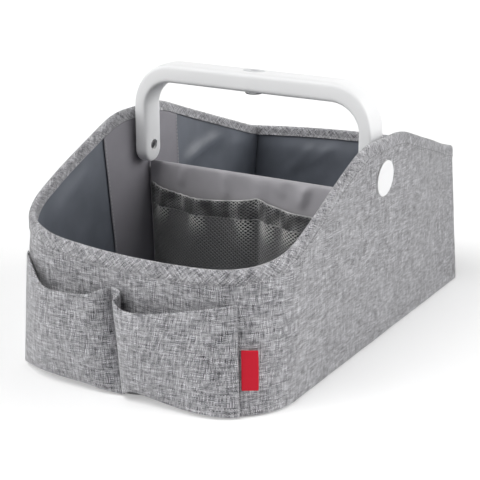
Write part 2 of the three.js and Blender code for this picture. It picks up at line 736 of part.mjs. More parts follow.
function lightLens() {
  const radius = LENS_DIAMETER / 2;
  const hollow = radius - LENS_WALL;
  return turned([
    ...domeProfile(radius, barFoot, LENS_DROP),
    [radius, cavityFoot], [radius + LENS_FLANGE, cavityFoot],
    [radius + LENS_FLANGE, flangeTop], [hollow, flangeTop],
    ...domeProfile(hollow, barFoot, LENS_DROP - LENS_WALL).reverse(),
  ]);
}

function lensRing() {
  const inside = LENS_DIAMETER / 2 + LAYER_GAP;
  const outside = inside + RING_WIDTH;
  const [top, foot] = [barFoot - LAYER_GAP, barFoot - LAYER_GAP - RING_HEIGHT];
  return turned([
    [inside, foot], [outside - RING_BEVEL, foot], [outside, foot + RING_BEVEL],
    [outside, top], [inside, top], [inside, foot],
  ]);
}

function led() {
  const radius = LED_DIAMETER / 2;
  const top = circuitFoot - LAYER_GAP;
  const shoulder = top - LED_LENGTH + radius;
  return turned([...domeProfile(radius, shoulder, radius), [radius, top], [0, top]]);
}

function touchSwitch() {
  const half = SWITCH_SIDE / 2;
  const foot = circuitTop + LAYER_GAP;
  const body = box([-half, -half, foot], [half, half, switchTop]);
  return join(body, rod(PLUNGER_DIAMETER / 2, foot, plungerTop, 'z'));
}

function touchButton() {
  const top = cavityTop - LAYER_GAP;
  const flangeFoot = top - BUTTON_FLANGE;
  const face = raised(ellipse(BUTTON_LENGTH, BUTTON_WIDTH), flangeFoot, barTop + BUTTON_PROUD);
  const flangeLength = BUTTON_LENGTH + 2 * BUTTON_FLANGE_REACH;
  const flangeWidth = CAVITY_WIDTH - 2 * LAYER_GAP;
  const flange = raised(ellipse(flangeLength, flangeWidth), flangeFoot, top);
  const stemFoot = plungerTop + BUTTON_TRAVEL + LAYER_GAP;
  return join(face, flange, rod(BUTTON_STEM_DIAMETER / 2, stemFoot, top, 'z'));
}

function buildBattery() {
  const middle = (cavityFoot + cavityTop) / 2;
  const half = CONTACT_SIDE / 2;
  const contact = (x) => box(
    [x, pivotY - half, middle - half],
    [x + CONTACT_THICKNESS, pivotY + half, middle + half],
  );
  add('inner_contact', contact(bayFrom), steel);
  add('outer_contact', contact(cavityHalf - LAYER_GAP - CONTACT_THICKNESS), steel);
  const firstCell = bayFrom + CONTACT_THICKNESS + LAYER_GAP;
  for (let i = 0; i < CELL_COUNT; i += 1) {
    const from = firstCell + i * cellPitch;
    const cell = rod(CELL_DIAMETER / 2, from, from + CELL_LENGTH, 'x');
    add(`button_cell_${i + 1}`, cell.translate(0, pivotY, middle), steel);
  }
}

function buildHandle() {
  const onBar = (geometry) => geometry.translate(0, pivotY, 0);
  add('handle_frame', handleFrame(), whitePlastic);
  add('light_plate', lightPlate(), whitePlastic);
  for (const [name, x] of [['left', -plateScrewX], ['right', plateScrewX]]) {
    add(`${name}_plate_screw`, plateScrew().translate(x, pivotY, 0), steel);
  }
  add('light_lens', onBar(lightLens()), clearPlastic);
  add('lens_ring', onBar(lensRing()), chrome);
  add('led', onBar(led()), clearPlastic);
  const circuitWidth = CAVITY_WIDTH - 2 * LAYER_GAP;
  const circuit = box(
    [LAYER_GAP - cavityHalf, -circuitWidth / 2, circuitFoot],
    [CIRCUIT_LENGTH - cavityHalf, circuitWidth / 2, circuitTop],
  );
  add('circuit_board', onBar(circuit), circuitGreen);
  add('touch_switch', onBar(touchSwitch()), darkPlastic);
  buildBattery();
  add('touch_button', onBar(touchButton()), palePlastic);
}

// Divider

const dividerY = pivotY + DIVIDER_OFFSET;
const dividerFoot = floorTop + LAYER_GAP;
const dividerTop = pivotZ - ARM_END_DROP - DIVIDER_CLEARANCE;
const hookOut = panelIn + LAYER_GAP;
const hookIn = hookOut + HOOK_STRIP_THICKNESS;
const coverSide = hookIn + LAYER_GAP;
const coverHalf = DIVIDER_BOARD / 2 + LAYER_GAP + DIVIDER_CLOTH;

// An upright slab across the body, its ends following the leaning walls
function dividerSlab(depth, halfThickness, foot, top) {
  const shape = new THREE.Shape([
    new THREE.Vector2(-wallFace(depth, foot), foot),
    new THREE.Vector2(wallFace(depth, foot), foot),
    new THREE.Vector2(wallFace(depth, top), top),
    new THREE.Vector2(-wallFace(depth, top), top),
  ]);
  const slab = raised(shape, -halfThickness, halfThickness);
  return slab.rotateX(Math.PI / 2).translate(0, dividerY, 0);
}

// Mesh pocket in two bays: how full it is across the divider, 0 at the three seams
const meshFullness = (share) => Math.abs(Math.sin(2 * Math.PI * share)) ** MESH_FULLNESS;

function meshSheet(rowsAt) {
  const half = wallFace(coverSide, dividerFoot) - MESH_INSET;
  const front = dividerY - coverHalf - LAYER_GAP;
  const face = (thickness) => Array.from({ length: MESH_STEPS + 1 }, (_, i) => {
    const share = i / MESH_STEPS;
    const fullness = meshFullness(share);
    const x = lerp(-half, half, share);
    return rowsAt(fullness).map(([z, bulge]) =>
      new THREE.Vector3(x, front - bulge * fullness - thickness, z));
  });
  return thickSheet(face(MESH), face(0));
}

function buildDivider() {
  const clothTop = DIVIDER_CLOTH + LAYER_GAP;
  const boardDepth = coverSide + clothTop;
  const boardFoot = dividerFoot + LAYER_GAP;
  const hollow = dividerSlab(
    coverSide + DIVIDER_CLOTH, coverHalf - DIVIDER_CLOTH, 0, dividerTop - DIVIDER_CLOTH);
  const cover = dividerSlab(coverSide, coverHalf, dividerFoot, dividerTop);
  add('divider_cover', cut(cover, hollow), panelCloth);
  const board = dividerSlab(boardDepth, DIVIDER_BOARD / 2, boardFoot, dividerTop - clothTop);
  add('divider_board', board, stiffBoard);

  const [stripFoot, stripTop] = [dividerFoot + HOOK_STRIP_INSET, dividerTop - HOOK_STRIP_INSET];
  for (const [name, side] of [['left', -1], ['right', 1]]) {
    const face = (depth) => [0, HOOK_STRIP_WIDTH].map((back) => [stripFoot, stripTop].map((z) =>
      new THREE.Vector3(side * wallFace(depth, z), dividerY - coverHalf + back, z)));
    add(`${name}_hook_strip`, thickSheet(face(hookOut), face(hookIn)), panelCloth);
  }

  const meshFoot = dividerFoot + MESH_RAISE;
  const hemTop = (fullness) => dividerTop - MESH_DROP - MESH_SAG * fullness;
  const meshTop = (fullness) => hemTop(fullness) - MESH_HEM_HEIGHT - LAYER_GAP;
  const mesh = meshSheet((fullness) => [
    [meshFoot, 0],
    [meshFoot + MESH_FOOT_HEIGHT, MESH_FOOT_BULGE],
    [meshTop(fullness), MESH_BULGE],
  ]);
  const hem = meshSheet((fullness) => [
    [hemTop(fullness) - MESH_HEM_HEIGHT, MESH_BULGE],
    [hemTop(fullness), MESH_BULGE],
  ]);
  add('mesh_pocket', mesh, meshCloth);
  add('mesh_hem', hem, meshCloth);
}

buildWalls();
buildSidePanels();
buildPockets();
buildPivots();
buildHandle();
buildDivider();

export default caddy;
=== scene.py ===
"""Nursery caddy: the looks of its cloth, mesh and moulded pieces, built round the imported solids."""

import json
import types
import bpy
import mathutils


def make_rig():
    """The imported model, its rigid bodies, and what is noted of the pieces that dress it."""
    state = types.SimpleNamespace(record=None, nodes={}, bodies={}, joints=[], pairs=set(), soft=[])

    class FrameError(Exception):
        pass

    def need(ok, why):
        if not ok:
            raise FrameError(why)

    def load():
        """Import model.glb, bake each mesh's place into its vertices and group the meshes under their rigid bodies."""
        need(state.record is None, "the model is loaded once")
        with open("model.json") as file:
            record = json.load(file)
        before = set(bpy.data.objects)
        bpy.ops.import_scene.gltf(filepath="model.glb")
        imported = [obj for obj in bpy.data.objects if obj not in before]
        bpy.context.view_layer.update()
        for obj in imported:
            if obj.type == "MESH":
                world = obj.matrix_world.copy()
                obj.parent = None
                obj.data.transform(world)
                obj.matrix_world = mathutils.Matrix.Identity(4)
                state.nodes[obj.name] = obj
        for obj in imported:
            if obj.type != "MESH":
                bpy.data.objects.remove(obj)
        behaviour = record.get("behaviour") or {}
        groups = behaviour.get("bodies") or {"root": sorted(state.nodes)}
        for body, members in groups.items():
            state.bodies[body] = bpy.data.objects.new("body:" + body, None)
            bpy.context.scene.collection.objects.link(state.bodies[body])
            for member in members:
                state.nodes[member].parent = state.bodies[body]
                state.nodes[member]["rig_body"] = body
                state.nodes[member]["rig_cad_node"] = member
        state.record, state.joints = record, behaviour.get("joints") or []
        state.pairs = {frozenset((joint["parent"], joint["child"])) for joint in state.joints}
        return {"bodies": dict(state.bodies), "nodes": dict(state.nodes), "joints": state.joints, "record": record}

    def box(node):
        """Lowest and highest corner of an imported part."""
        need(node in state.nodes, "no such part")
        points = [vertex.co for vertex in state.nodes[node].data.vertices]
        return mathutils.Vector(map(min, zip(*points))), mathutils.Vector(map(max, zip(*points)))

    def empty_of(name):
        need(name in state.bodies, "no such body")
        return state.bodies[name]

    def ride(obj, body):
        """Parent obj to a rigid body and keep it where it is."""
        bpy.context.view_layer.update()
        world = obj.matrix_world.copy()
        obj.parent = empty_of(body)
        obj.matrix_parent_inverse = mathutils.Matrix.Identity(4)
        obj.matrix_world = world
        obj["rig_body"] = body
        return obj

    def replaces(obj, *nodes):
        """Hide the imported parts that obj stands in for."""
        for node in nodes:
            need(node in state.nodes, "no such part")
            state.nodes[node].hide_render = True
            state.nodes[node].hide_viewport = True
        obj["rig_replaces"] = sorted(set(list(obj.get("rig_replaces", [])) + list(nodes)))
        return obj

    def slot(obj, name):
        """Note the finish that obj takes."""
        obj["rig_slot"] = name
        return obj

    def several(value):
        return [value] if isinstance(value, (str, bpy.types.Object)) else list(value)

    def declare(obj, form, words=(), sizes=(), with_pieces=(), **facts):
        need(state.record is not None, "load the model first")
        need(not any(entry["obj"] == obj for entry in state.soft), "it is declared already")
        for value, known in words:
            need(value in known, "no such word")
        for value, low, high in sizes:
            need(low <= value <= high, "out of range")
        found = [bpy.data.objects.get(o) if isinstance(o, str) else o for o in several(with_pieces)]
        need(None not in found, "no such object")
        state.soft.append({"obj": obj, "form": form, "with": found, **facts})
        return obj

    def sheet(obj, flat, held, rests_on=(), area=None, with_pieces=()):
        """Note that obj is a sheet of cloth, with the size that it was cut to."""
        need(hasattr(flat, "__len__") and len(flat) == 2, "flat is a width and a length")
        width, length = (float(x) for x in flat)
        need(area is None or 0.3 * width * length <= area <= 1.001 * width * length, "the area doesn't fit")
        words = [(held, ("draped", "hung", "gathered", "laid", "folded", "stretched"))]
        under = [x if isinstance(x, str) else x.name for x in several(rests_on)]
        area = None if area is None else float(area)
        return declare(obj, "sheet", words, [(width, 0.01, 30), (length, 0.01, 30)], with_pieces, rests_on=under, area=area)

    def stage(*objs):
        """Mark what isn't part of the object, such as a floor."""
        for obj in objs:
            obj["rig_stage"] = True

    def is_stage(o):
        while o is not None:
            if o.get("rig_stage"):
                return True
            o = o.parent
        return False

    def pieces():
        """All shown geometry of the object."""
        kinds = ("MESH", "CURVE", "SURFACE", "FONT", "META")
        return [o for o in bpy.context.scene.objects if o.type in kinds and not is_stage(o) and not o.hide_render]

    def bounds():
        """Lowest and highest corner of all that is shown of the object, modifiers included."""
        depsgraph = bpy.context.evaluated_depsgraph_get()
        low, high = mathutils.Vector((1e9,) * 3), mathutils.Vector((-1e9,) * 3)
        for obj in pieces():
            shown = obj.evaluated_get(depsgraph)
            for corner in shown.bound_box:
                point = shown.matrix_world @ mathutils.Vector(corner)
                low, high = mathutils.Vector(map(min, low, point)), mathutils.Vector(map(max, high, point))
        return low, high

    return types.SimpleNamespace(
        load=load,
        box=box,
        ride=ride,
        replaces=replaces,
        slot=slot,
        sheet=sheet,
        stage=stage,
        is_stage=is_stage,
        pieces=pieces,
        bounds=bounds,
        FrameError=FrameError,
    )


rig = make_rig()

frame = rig.load()

import json
import math

import bmesh
import bpy
from mathutils import Matrix, Vector, noise

CAD_BOX = [list(corner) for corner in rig.bounds()]

# Camera, at the photograph's viewing angle
CAMERA_PLACE = (0.5656, -0.9764, 0.4427)
CAMERA_PITCH = math.radians(17.98)
CAMERA_TURN = math.radians(30.55)
CAMERA_LENS = 99.52
CAMERA_SENSOR = 36

# Body, in metres; the frame gives its place and main sizes
BASE_LOW, BASE_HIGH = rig.box("base_panel")
PANEL_LOW, PANEL_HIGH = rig.box("left_side_panel")
HALF_WIDTH = BASE_HIGH.x
FRONT, BACK = BASE_LOW.y, BASE_HIGH.y
FRONT_RADIUS = 0.056
BACK_RADIUS = 0.0065
SIDE_FLARE = 0.00738
BACK_NARROWING = 0.01032
BACK_BOW = 0.006
BOW_START = 0.018
BOW_FULL = 0.007

# Rim
RIM_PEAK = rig.box("rim_binding")[1].z
RIM_FRONT = 0.119
RIM_BACK = 0.129
RIM_FRONT_DIP = 0.0025
RIM_BACK_RISE = 0.0025
RISE_START = 0.019
FALL_END = 0.004
PEAK_LENGTH = 0.068
RIM_BEND = 0.018

# The cloth's own rim against the board's: ways along the wall from the middle of the front, and lifts
RIM_DRIFT = (
    (-0.492, -0.0004), (-0.42, -0.0003), (-0.34, 0.0002), (-0.27, -0.0002), (-0.185, 0.004),
    (-0.145, 0.0045), (-0.095, 0.0088), (-0.06, 0.0041), (-0.02, 0.001), (0.03, 0.0002), (0.11, 0.0025),
    (0.165, 0.0012), (0.228, 0.0036), (0.29, 0.0004), (0.365, 0.0006), (0.44, 0.0046), (0.5, 0.005),
    (0.719, -0.0004),
)

# The wall drawn in at the top of the left front corner
CORNER_TUCK = 0.0022
TUCK_PLACE = -0.118
TUCK_REACH = 0.035
TUCK_FOOT, TUCK_TOP = 0.095, 0.118

# Cloth layers of the walls, as depths behind the outside
CLOTH = 0.001
LINING = 0.0007
LINING_DEPTH = 0.0045
PANEL = 0.0008
PANEL_DEPTH = 0.0056
PANEL_SLANT = 0.013
PANEL_LIFT = 0.0005
CLOTH_FOOT = 0.0006
LINING_FOOT = 0.0056
SQUARE_DEPTH = 0.0035
WALL_ROWS = 34
UNEVEN = 0.00035
FOOT_TURN = 0.003
FOOT_ROUNDING = 0.011
LEFT_ROUNDING, RIGHT_ROUNDING = (-0.055, 0.032), (0.022, 0.016)
UNDER_BINDING = 0.004

# Binding tape
BINDING = 0.0008
BINDING_OUTSIDE = 0.012
BINDING_INSIDE = 0.0092
OUTSIDE_STAND = 0.0007
INSIDE_STAND = 0.0011
STITCH_INSET = 0.0017
STITCH_PULL, PULL_WIDTH = 0.0004, 0.0011
TAPE_PUFF = 0.0003
TAPE_EDGE, TAPE_EDGE_LIFT = 0.0022, 0.0008

# Handle
JOINTS = {joint["name"]: joint for joint in frame["joints"]}
PIVOT = Vector(JOINTS["handle_swing"]["pos_m"])
HANDLE_LOW, HANDLE_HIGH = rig.box("handle_frame")
PLATE_LOW, PLATE_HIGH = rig.box("light_plate")
BAR_TOP = HANDLE_HIGH.z
BAR_FOOT = PLATE_LOW.z

# Threads
THREAD_PITCH = 0.00078
STITCH_LENGTH = 0.0026
STITCH_PITCH = 0.0034
STITCH_RADIUS = 0.00028


# Small helpers

def mix(low, high, share):
    return low + (high - low) * share


def smooth(value, low, high):
    share = min(max((value - low) / (high - low), 0.0), 1.0)
    return share * share * (3 - 2 * share)


def wander(x, y, seed):
    """Soft unevenness from about -1 to 1."""
    return noise.noise(Vector((x, y, seed)))


def curve_point(points, share):
    """A place on the smooth curve through some points, from the first to the last."""
    run = share * (len(points) - 1)
    i = min(int(run), len(points) - 2)
    t = run - i
    start, end = Vector(points[i]), Vector(points[i + 1])
    before = Vector(points[max(i - 1, 0)])
    after = Vector(points[min(i + 2, len(points) - 1)])
    slope_in, slope_out = (end - before) / 2, (after - start) / 2
    bend = 3 * (end - start) - 2 * slope_in - slope_out
    twist = 2 * (start - end) + slope_in + slope_out
    return start + slope_in * t + bend * t ** 2 + twist * t ** 3


def creased(x, y, creases):
    """Height of some soft creases; each has its start, its end, its height and its width."""
    total = 0.0
    for start, end, height, width in creases:
        along_x, along_y = end[0] - start[0], end[1] - start[1]
        length = math.hypot(along_x, along_y)
        run = ((x - start[0]) * along_x + (y - start[1]) * along_y) / length
        beside = ((x - start[0]) * along_y - (y - start[1]) * along_x) / length
        fade = smooth(run, -width, length / 3) * smooth(length - run, -width, length / 3)
        total += height * fade * math.exp(-((beside / width) ** 2))
    return total


def curve_value(points, place):
    """The height at a place of the smooth curve through (place, height) pairs."""
    i = 0
    while i < len(points) - 2 and place > points[i + 1][0]:
        i += 1
    (x0, y0), (x1, y1) = points[i], points[i + 1]

    def slope(j):
        before, after = points[max(j - 1, 0)], points[min(j + 1, len(points) - 1)]
        return (after[1] - before[1]) / (after[0] - before[0]) * (x1 - x0)

    t = min(max((place - x0) / (x1 - x0), 0.0), 1.0)
    rise = t * t * (3 - 2 * t)
    return mix(y0, y1, rise) + slope(i) * t * (1 - t) ** 2 - slope(i + 1) * t * t * (1 - t)


# Wall surface

def straight_run(x, y, heading, length):
    along = Vector((heading[0], heading[1], 0))
    out = Vector((heading[1], -heading[0], 0))
    start = Vector((x, y, 0))
    return length, lambda distance: (start + along * distance, out)


def arc_run(x, y, radius, start_angle):
    centre = Vector((x, y, 0))

    def point_at(distance):
        angle = start_angle + distance / radius
        out = Vector((math.cos(angle), math.sin(angle), 0))
        return centre + out * radius, out

    return radius * math.pi / 2, point_at


SIDE_RUN = BACK - FRONT - FRONT_RADIUS - BACK_RADIUS
FRONT_RUN = 2 * (HALF_WIDTH - FRONT_RADIUS)
BACK_RUN = 2 * (HALF_WIDTH - BACK_RADIUS)
WALL_RUNS = [
    arc_run(BACK_RADIUS - HALF_WIDTH, BACK - BACK_RADIUS, BACK_RADIUS, math.pi / 2),
    straight_run(-HALF_WIDTH, BACK - BACK_RADIUS, (0, -1), SIDE_RUN),
    arc_run(FRONT_RADIUS - HALF_WIDTH, FRONT + FRONT_RADIUS, FRONT_RADIUS, math.pi),
    straight_run(FRONT_RADIUS - HALF_WIDTH, FRONT, (1, 0), FRONT_RUN),
    arc_run(HALF_WIDTH - FRONT_RADIUS, FRONT + FRONT_RADIUS, FRONT_RADIUS, 1.5 * math.pi),
    straight_run(HALF_WIDTH, FRONT + FRONT_RADIUS, (0, 1), SIDE_RUN),
    arc_run(HALF_WIDTH - BACK_RADIUS, BACK - BACK_RADIUS, BACK_RADIUS, 0),
    straight_run(HALF_WIDTH - BACK_RADIUS, BACK, (-1, 0), BACK_RUN),
]
RUN_LENGTHS = [length for length, _ in WALL_RUNS]
WRAP_LENGTH = sum(RUN_LENGTHS[:7])
FRONT_MIDDLE = sum(RUN_LENGTHS[:3]) + FRONT_RUN / 2
LEFT_SIDE_START = RUN_LENGTHS[0]
RIGHT_SIDE_START = sum(RUN_LENGTHS[:5])


def plan_point(distance):
    """Place and outward direction on the outside of the walls, from the left back seam round the front."""
    for length, point_at in WALL_RUNS[:-1]:
        if distance <= length:
            return point_at(distance)
        distance -= length
    return WALL_RUNS[-1][1](distance)


def soft_ramp(distance):
    if distance <= -RIM_BEND:
        return 0.0
    if distance >= RIM_BEND:
        return distance
    return (distance + RIM_BEND) ** 2 / (4 * RIM_BEND)


def rim_height(x, y):
    rise_from, rise_to = FRONT + RISE_START, PIVOT.y - PEAK_LENGTH / 2
    fall_from, fall_to = PIVOT.y + PEAK_LENGTH / 2, BACK - FALL_END
    rise = (RIM_PEAK - RIM_FRONT) / (rise_to - rise_from)
    fall = (RIM_PEAK - RIM_BACK) / (fall_to - fall_from)
    climbed = rise * (soft_ramp(y - rise_from) - soft_ramp(y - rise_to))
    dropped = fall * (soft_ramp(y - fall_from) - soft_ramp(y - fall_to))
    sag = -RIM_FRONT_DIP if y < PIVOT.y else RIM_BACK_RISE
    return RIM_FRONT + climbed - dropped + sag * (1 - (x / HALF_WIDTH) ** 2)


def rim_at(distance):
    point, _ = plan_point(distance)
    return rim_height(point.x, point.y) + curve_value(RIM_DRIFT, distance - FRONT_MIDDLE)


def lean(point, z):
    """Moves a place on the plan to the leaning, bowed wall at a height."""
    across = point.x / HALF_WIDTH
    outward, inward = SIDE_FLARE / RIM_PEAK, BACK_NARROWING / RIM_BACK
    slope = mix(outward, -inward, smooth(point.y, PANEL_HIGH.y, BACK))
    behind = smooth(point.y, BACK - BOW_START, BACK - BOW_FULL)
    bow = BACK_BOW * behind * (1 - across ** 2) * z / (RIM_BACK + RIM_BACK_RISE)
    return Vector((point.x + slope * z * across, point.y + bow, z))


def sewn_square(point, out, depth):
    """How far the outer cloth stands out past the round corners of the back, where it is sewn square."""
    if point.y < BACK - BACK_RADIUS:
        return 0.0
    return BACK_RADIUS * (1 / max(abs(out.x), abs(out.y)) - 1) * (1 - smooth(depth, 0.0, SQUARE_DEPTH))


def wall_point(distance, depth, z):
    point, out = plan_point(distance)
    beside = (distance - FRONT_MIDDLE - TUCK_PLACE) / TUCK_REACH
    tuck = CORNER_TUCK * math.exp(-beside ** 2) * smooth(z, TUCK_FOOT, TUCK_TOP)
    return lean(point - out * (depth + tuck - sewn_square(point, out, depth)), z)


def denser_ends(u):
    """Brings the columns of a grid closer together at its two ends."""
    crowding = 0.75
    return u - crowding * math.sin(2 * math.pi * u) / (2 * math.pi)


def wall_cut(start, length, foot):
    """Size and area that the cloth of a stretch of wall is cut to, from a height up to the binding."""
    steps = 240
    heights = [rim_at(start + (i + 0.5) * length / steps) - UNDER_BINDING - foot for i in range(steps)]
    return {"flat": (length, max(heights)), "area": length * sum(heights) / steps}


# Making pieces

def shaped_grid(columns, rows, place):
    """A grid whose points are moved to place(u, v), with the cloth's own coordinates as its UV map."""
    bm = bmesh.new()
    bmesh.ops.create_grid(bm, x_segments=columns, y_segments=rows, size=0.5)
    weave = bm.loops.layers.uv.new("weave")
    for vert in bm.verts:
        point, threads = place(vert.co.x + 0.5, vert.co.y + 0.5)
        vert.co = point
        for loop in vert.link_loops:
            loop[weave].uv = threads
    return bm


def make_piece(bm, name, material, body, slot, nodes=()):
    mesh = bpy.data.meshes.new(name)
    bm.to_mesh(mesh)
    bm.free()
    mesh.shade_smooth()
    mesh.materials.append(material)
    piece = bpy.data.objects.new(name, mesh)
    bpy.context.scene.collection.objects.link(piece)
    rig.ride(piece, body)
    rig.slot(piece, slot)
    if nodes:
        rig.replaces(piece, *nodes)
    return piece


def thicken(piece, thickness):
    """Gives a sheet its thickness, behind the face that was shaped, and rounds it."""
    solid = piece.modifiers.new("thickness", "SOLIDIFY")
    solid.thickness = thickness
    solid.offset = -1
    rounding = piece.modifiers.new("rounding", "SUBSURF")
    rounding.levels = rounding.render_levels = 1
    return piece


def sheet_piece(name, size, place, material, body, slot, nodes, thickness):
    """A thick sheet of some columns and rows, shaped by place(u, v), and the area of its shaped face."""
    bm = shaped_grid(*size, place)
    area = sum(face.calc_area() for face in bm.faces)
    return thicken(make_piece(bm, name, material, body, slot, nodes), thickness), area


def crisp(piece, degrees=40):
    """Keeps the edges of a moulded or turned piece sharp where its faces turn by more than an angle."""
    piece.data.set_sharp_from_angle(angle=math.radians(degrees))
    return piece


def turned(profile, place, steps=64):
    """A turned piece from (radius, height) pairs about its own Z, put in place by a matrix."""
    bm = bmesh.new()
    verts = [bm.verts.new((radius, 0, height)) for radius, height in profile]
    edges = [bm.edges.new(pair) for pair in zip(verts, verts[1:])]
    bmesh.ops.spin(
        bm, geom=verts + edges, axis=(0, 0, 1), cent=(0, 0, 0),
        steps=steps, angle=2 * math.pi, use_merge=True,
    )
    bmesh.ops.remove_doubles(bm, verts=bm.verts, dist=1e-6)
    bmesh.ops.recalc_face_normals(bm, faces=bm.faces)
    bmesh.ops.transform(bm, matrix=place, verts=bm.verts)
    return bm


def quarter_round(steps):
    """Sines and cosines of the angles of a quarter turn."""
    angles = [i / steps * math.pi / 2 for i in range(steps + 1)]
    return [(math.sin(angle), math.cos(angle)) for angle in angles]


def stitches(name, point_at, length, out_at, thread, body, slot):
    """A row of stitches along point_at(run), for a length, on cloth that faces out_at(run)."""
    bm = bmesh.new()
    count = int(length / STITCH_PITCH)
    for i in range(count):
        run = (i + 0.5) * length / count
        start, end = point_at(run), point_at(run + STITCH_LENGTH)
        along = (end - start).normalized()
        side = out_at(run).cross(along).normalized()
        turn = Matrix((along, side, along.cross(side))).transposed().to_4x4()
        size = Matrix.Diagonal(((end - start).length / 2, STITCH_RADIUS, STITCH_RADIUS, 1))
        place = Matrix.Translation((start + end) / 2) @ turn @ size
        bmesh.ops.create_uvsphere(bm, u_segments=6, v_segments=4, radius=1, matrix=place)
    return make_piece(bm, name, thread, body, slot)


# Materials

def finish(name, sockets):
    material = bpy.data.materials.new(name)
    material.use_nodes = True
    tree = material.node_tree
    shader = tree.nodes["Principled BSDF"]
    for key, value in sockets.items():
        shader.inputs[key].default_value = value
    return material, tree, shader


def put(tree, kind, sockets=None, **settings):
    """A node with its settings, its sockets set or linked."""
    node = tree.nodes.new("ShaderNode" + kind)
    for key, value in settings.items():
        setattr(node, key, value)
    for key, value in (sockets or {}).items():
        if isinstance(value, bpy.types.NodeSocket):
            tree.links.new(value, node.inputs[key])
        else:
            node.inputs[key].default_value = value
    return node


def calc(tree, operation, *values):
    return put(tree, "Math", dict(enumerate(values)), operation=operation).outputs[0]


def ramp(tree, value, *stops):
    """Colours at places along a value."""
    node = put(tree, "ValToRGB", {"Fac": value})
    elements = node.color_ramp.elements
    while len(elements) < len(stops):
        elements.new(0.5)
    for element, (position, color) in zip(elements, stops):
        element.position = position
        element.color = (*color, 1)
    return node.outputs["Color"]


def object_noise(tree, scale, detail=2.0, stretch=(1, 1, 1)):
    place = put(tree, "TexCoord").outputs["Object"]
    moved = put(tree, "Mapping", {"Vector": place, "Scale": stretch}).outputs[0]
    return put(tree, "TexNoise", {"Vector": moved, "Scale": scale, "Detail": detail}).outputs["Fac"]


def paint(tree, shader, color, rough=None):
    tree.links.new(color, shader.inputs["Base Color"])
    if rough:
        tree.links.new(rough, shader.inputs["Roughness"])


def bump(tree, shader, height, distance, strength=1.0):
    node = put(tree, "Bump", {"Height": height, "Distance": distance, "Strength": strength})
    tree.links.new(node.outputs[0], shader.inputs["Normal"])


def heather_cloth(name):
    """Linen-like weave: each warp and weft thread changes from dark to light along its length."""
    slub, apart = 0.075, 7.31
    material, tree, shader = finish(
        name, {"Roughness": 0.92, "Sheen Weight": 0.9, "Sheen Roughness": 0.35, "Specular IOR Level": 0.2})
    weave = put(tree, "UVMap", uv_map="weave").outputs[0]
    threads = put(tree, "VectorMath", {0: weave, "Scale": 1 / THREAD_PITCH}, operation="SCALE").outputs[0]
    split = put(tree, "SeparateXYZ", {0: threads})
    across, along = split.outputs[0], split.outputs[1]
    warp, weft = calc(tree, "FLOOR", across), calc(tree, "FLOOR", along)
    over = calc(tree, "FLOORED_MODULO", calc(tree, "ADD", warp, weft), 2.0)

    def thread_shade(number, length, upright):
        spread, run = calc(tree, "MULTIPLY", number, apart), calc(tree, "MULTIPLY", length, slub)
        pair = (spread, run) if upright else (run, spread)
        place = put(tree, "CombineXYZ", {0: pair[0], 1: pair[1]}).outputs[0]
        return put(
            tree, "TexNoise", {"Vector": place, "Scale": 1.0, "Detail": 2.0, "Roughness": 0.65},
            noise_dimensions="2D",
        ).outputs["Fac"]

    def top_thread(of_warp, of_weft):
        return calc(tree, "MULTIPLY_ADD", over, calc(tree, "SUBTRACT", of_weft, of_warp), of_warp)

    def round_thread(value):
        return calc(tree, "SINE", calc(tree, "MULTIPLY", calc(tree, "FRACT", value), math.pi))

    shade = top_thread(thread_shade(warp, along, True), thread_shade(weft, across, False))
    mottle = calc(tree, "MULTIPLY_ADD", object_noise(tree, 55.0), 0.08, -0.04)
    color = ramp(
        tree, calc(tree, "ADD", shade, mottle),
        (0.28, (0.035, 0.034, 0.039)), (0.42, (0.247, 0.245, 0.261)),
        (0.56, (0.515, 0.512, 0.535)), (0.72, (0.88, 0.877, 0.9)),
    )
    paint(tree, shader, color)
    bump(tree, shader, top_thread(round_thread(across), round_thread(along)), 0.0003, 0.7)
    return material


def lining_cloth(name):
    """Coated lining with a low sheen and soft wrinkles."""
    material, tree, shader = finish(name, {"Specular IOR Level": 0.5})
    color = ramp(
        tree, object_noise(tree, 24.0, 3.0),
        (0.35, (0.128, 0.141, 0.165)), (0.65, (0.172, 0.187, 0.217)),
    )
    grain = object_noise(tree, 900.0, 1.0)
    paint(tree, shader, color, calc(tree, "MULTIPLY_ADD", grain, 0.12, 0.32))
    wrinkles = object_noise(tree, 38.0, 2.0, (1, 1, 0.5))
    bump(tree, shader, calc(tree, "MULTIPLY_ADD", grain, 0.05, wrinkles), 0.003, 0.3)
    return material


def panel_cloth(name, dark, light):
    """Plain coated cloth with a fine brushed grain."""
    material, tree, shader = finish(name, {"Specular IOR Level": 0.35, "Sheen Weight": 0.05})
    color = ramp(tree, object_noise(tree, 30.0, 3.0), (0.3, dark), (0.7, light))
    grain = object_noise(tree, 1400.0, 2.0)
    paint(tree, shader, color, calc(tree, "MULTIPLY_ADD", grain, 0.2, 0.5))
    bump(tree, shader, grain, 0.0002, 0.4)
    return material


def mesh_cloth(name):
    """Knitted strands with a dull shine; their colour follows a tone given at each point, which carries painted light:
    lighter at painted highlights, darker at painted shade.
    """
    material, tree, shader = finish(name, {"Specular IOR Level": 0.5, "Sheen Weight": 0.1})
    strands = object_noise(tree, 700.0, 2.0)
    shine = put(tree, "Attribute", attribute_name="shine").outputs["Fac"]
    shade = calc(tree, "ADD", shine, calc(tree, "MULTIPLY_ADD", strands, 0.3, -0.15))
    color = ramp(
        tree, shade,
        (0.0, (0.03, 0.03, 0.031)), (0.25, (0.1, 0.1, 0.102)), (0.55, (0.28, 0.28, 0.28)),
        (1.0, (0.68, 0.68, 0.66)),
    )
    paint(tree, shader, color, calc(tree, "MULTIPLY_ADD", strands, 0.3, 0.4))
    bump(tree, shader, strands, 0.0002, 0.5)
    return material


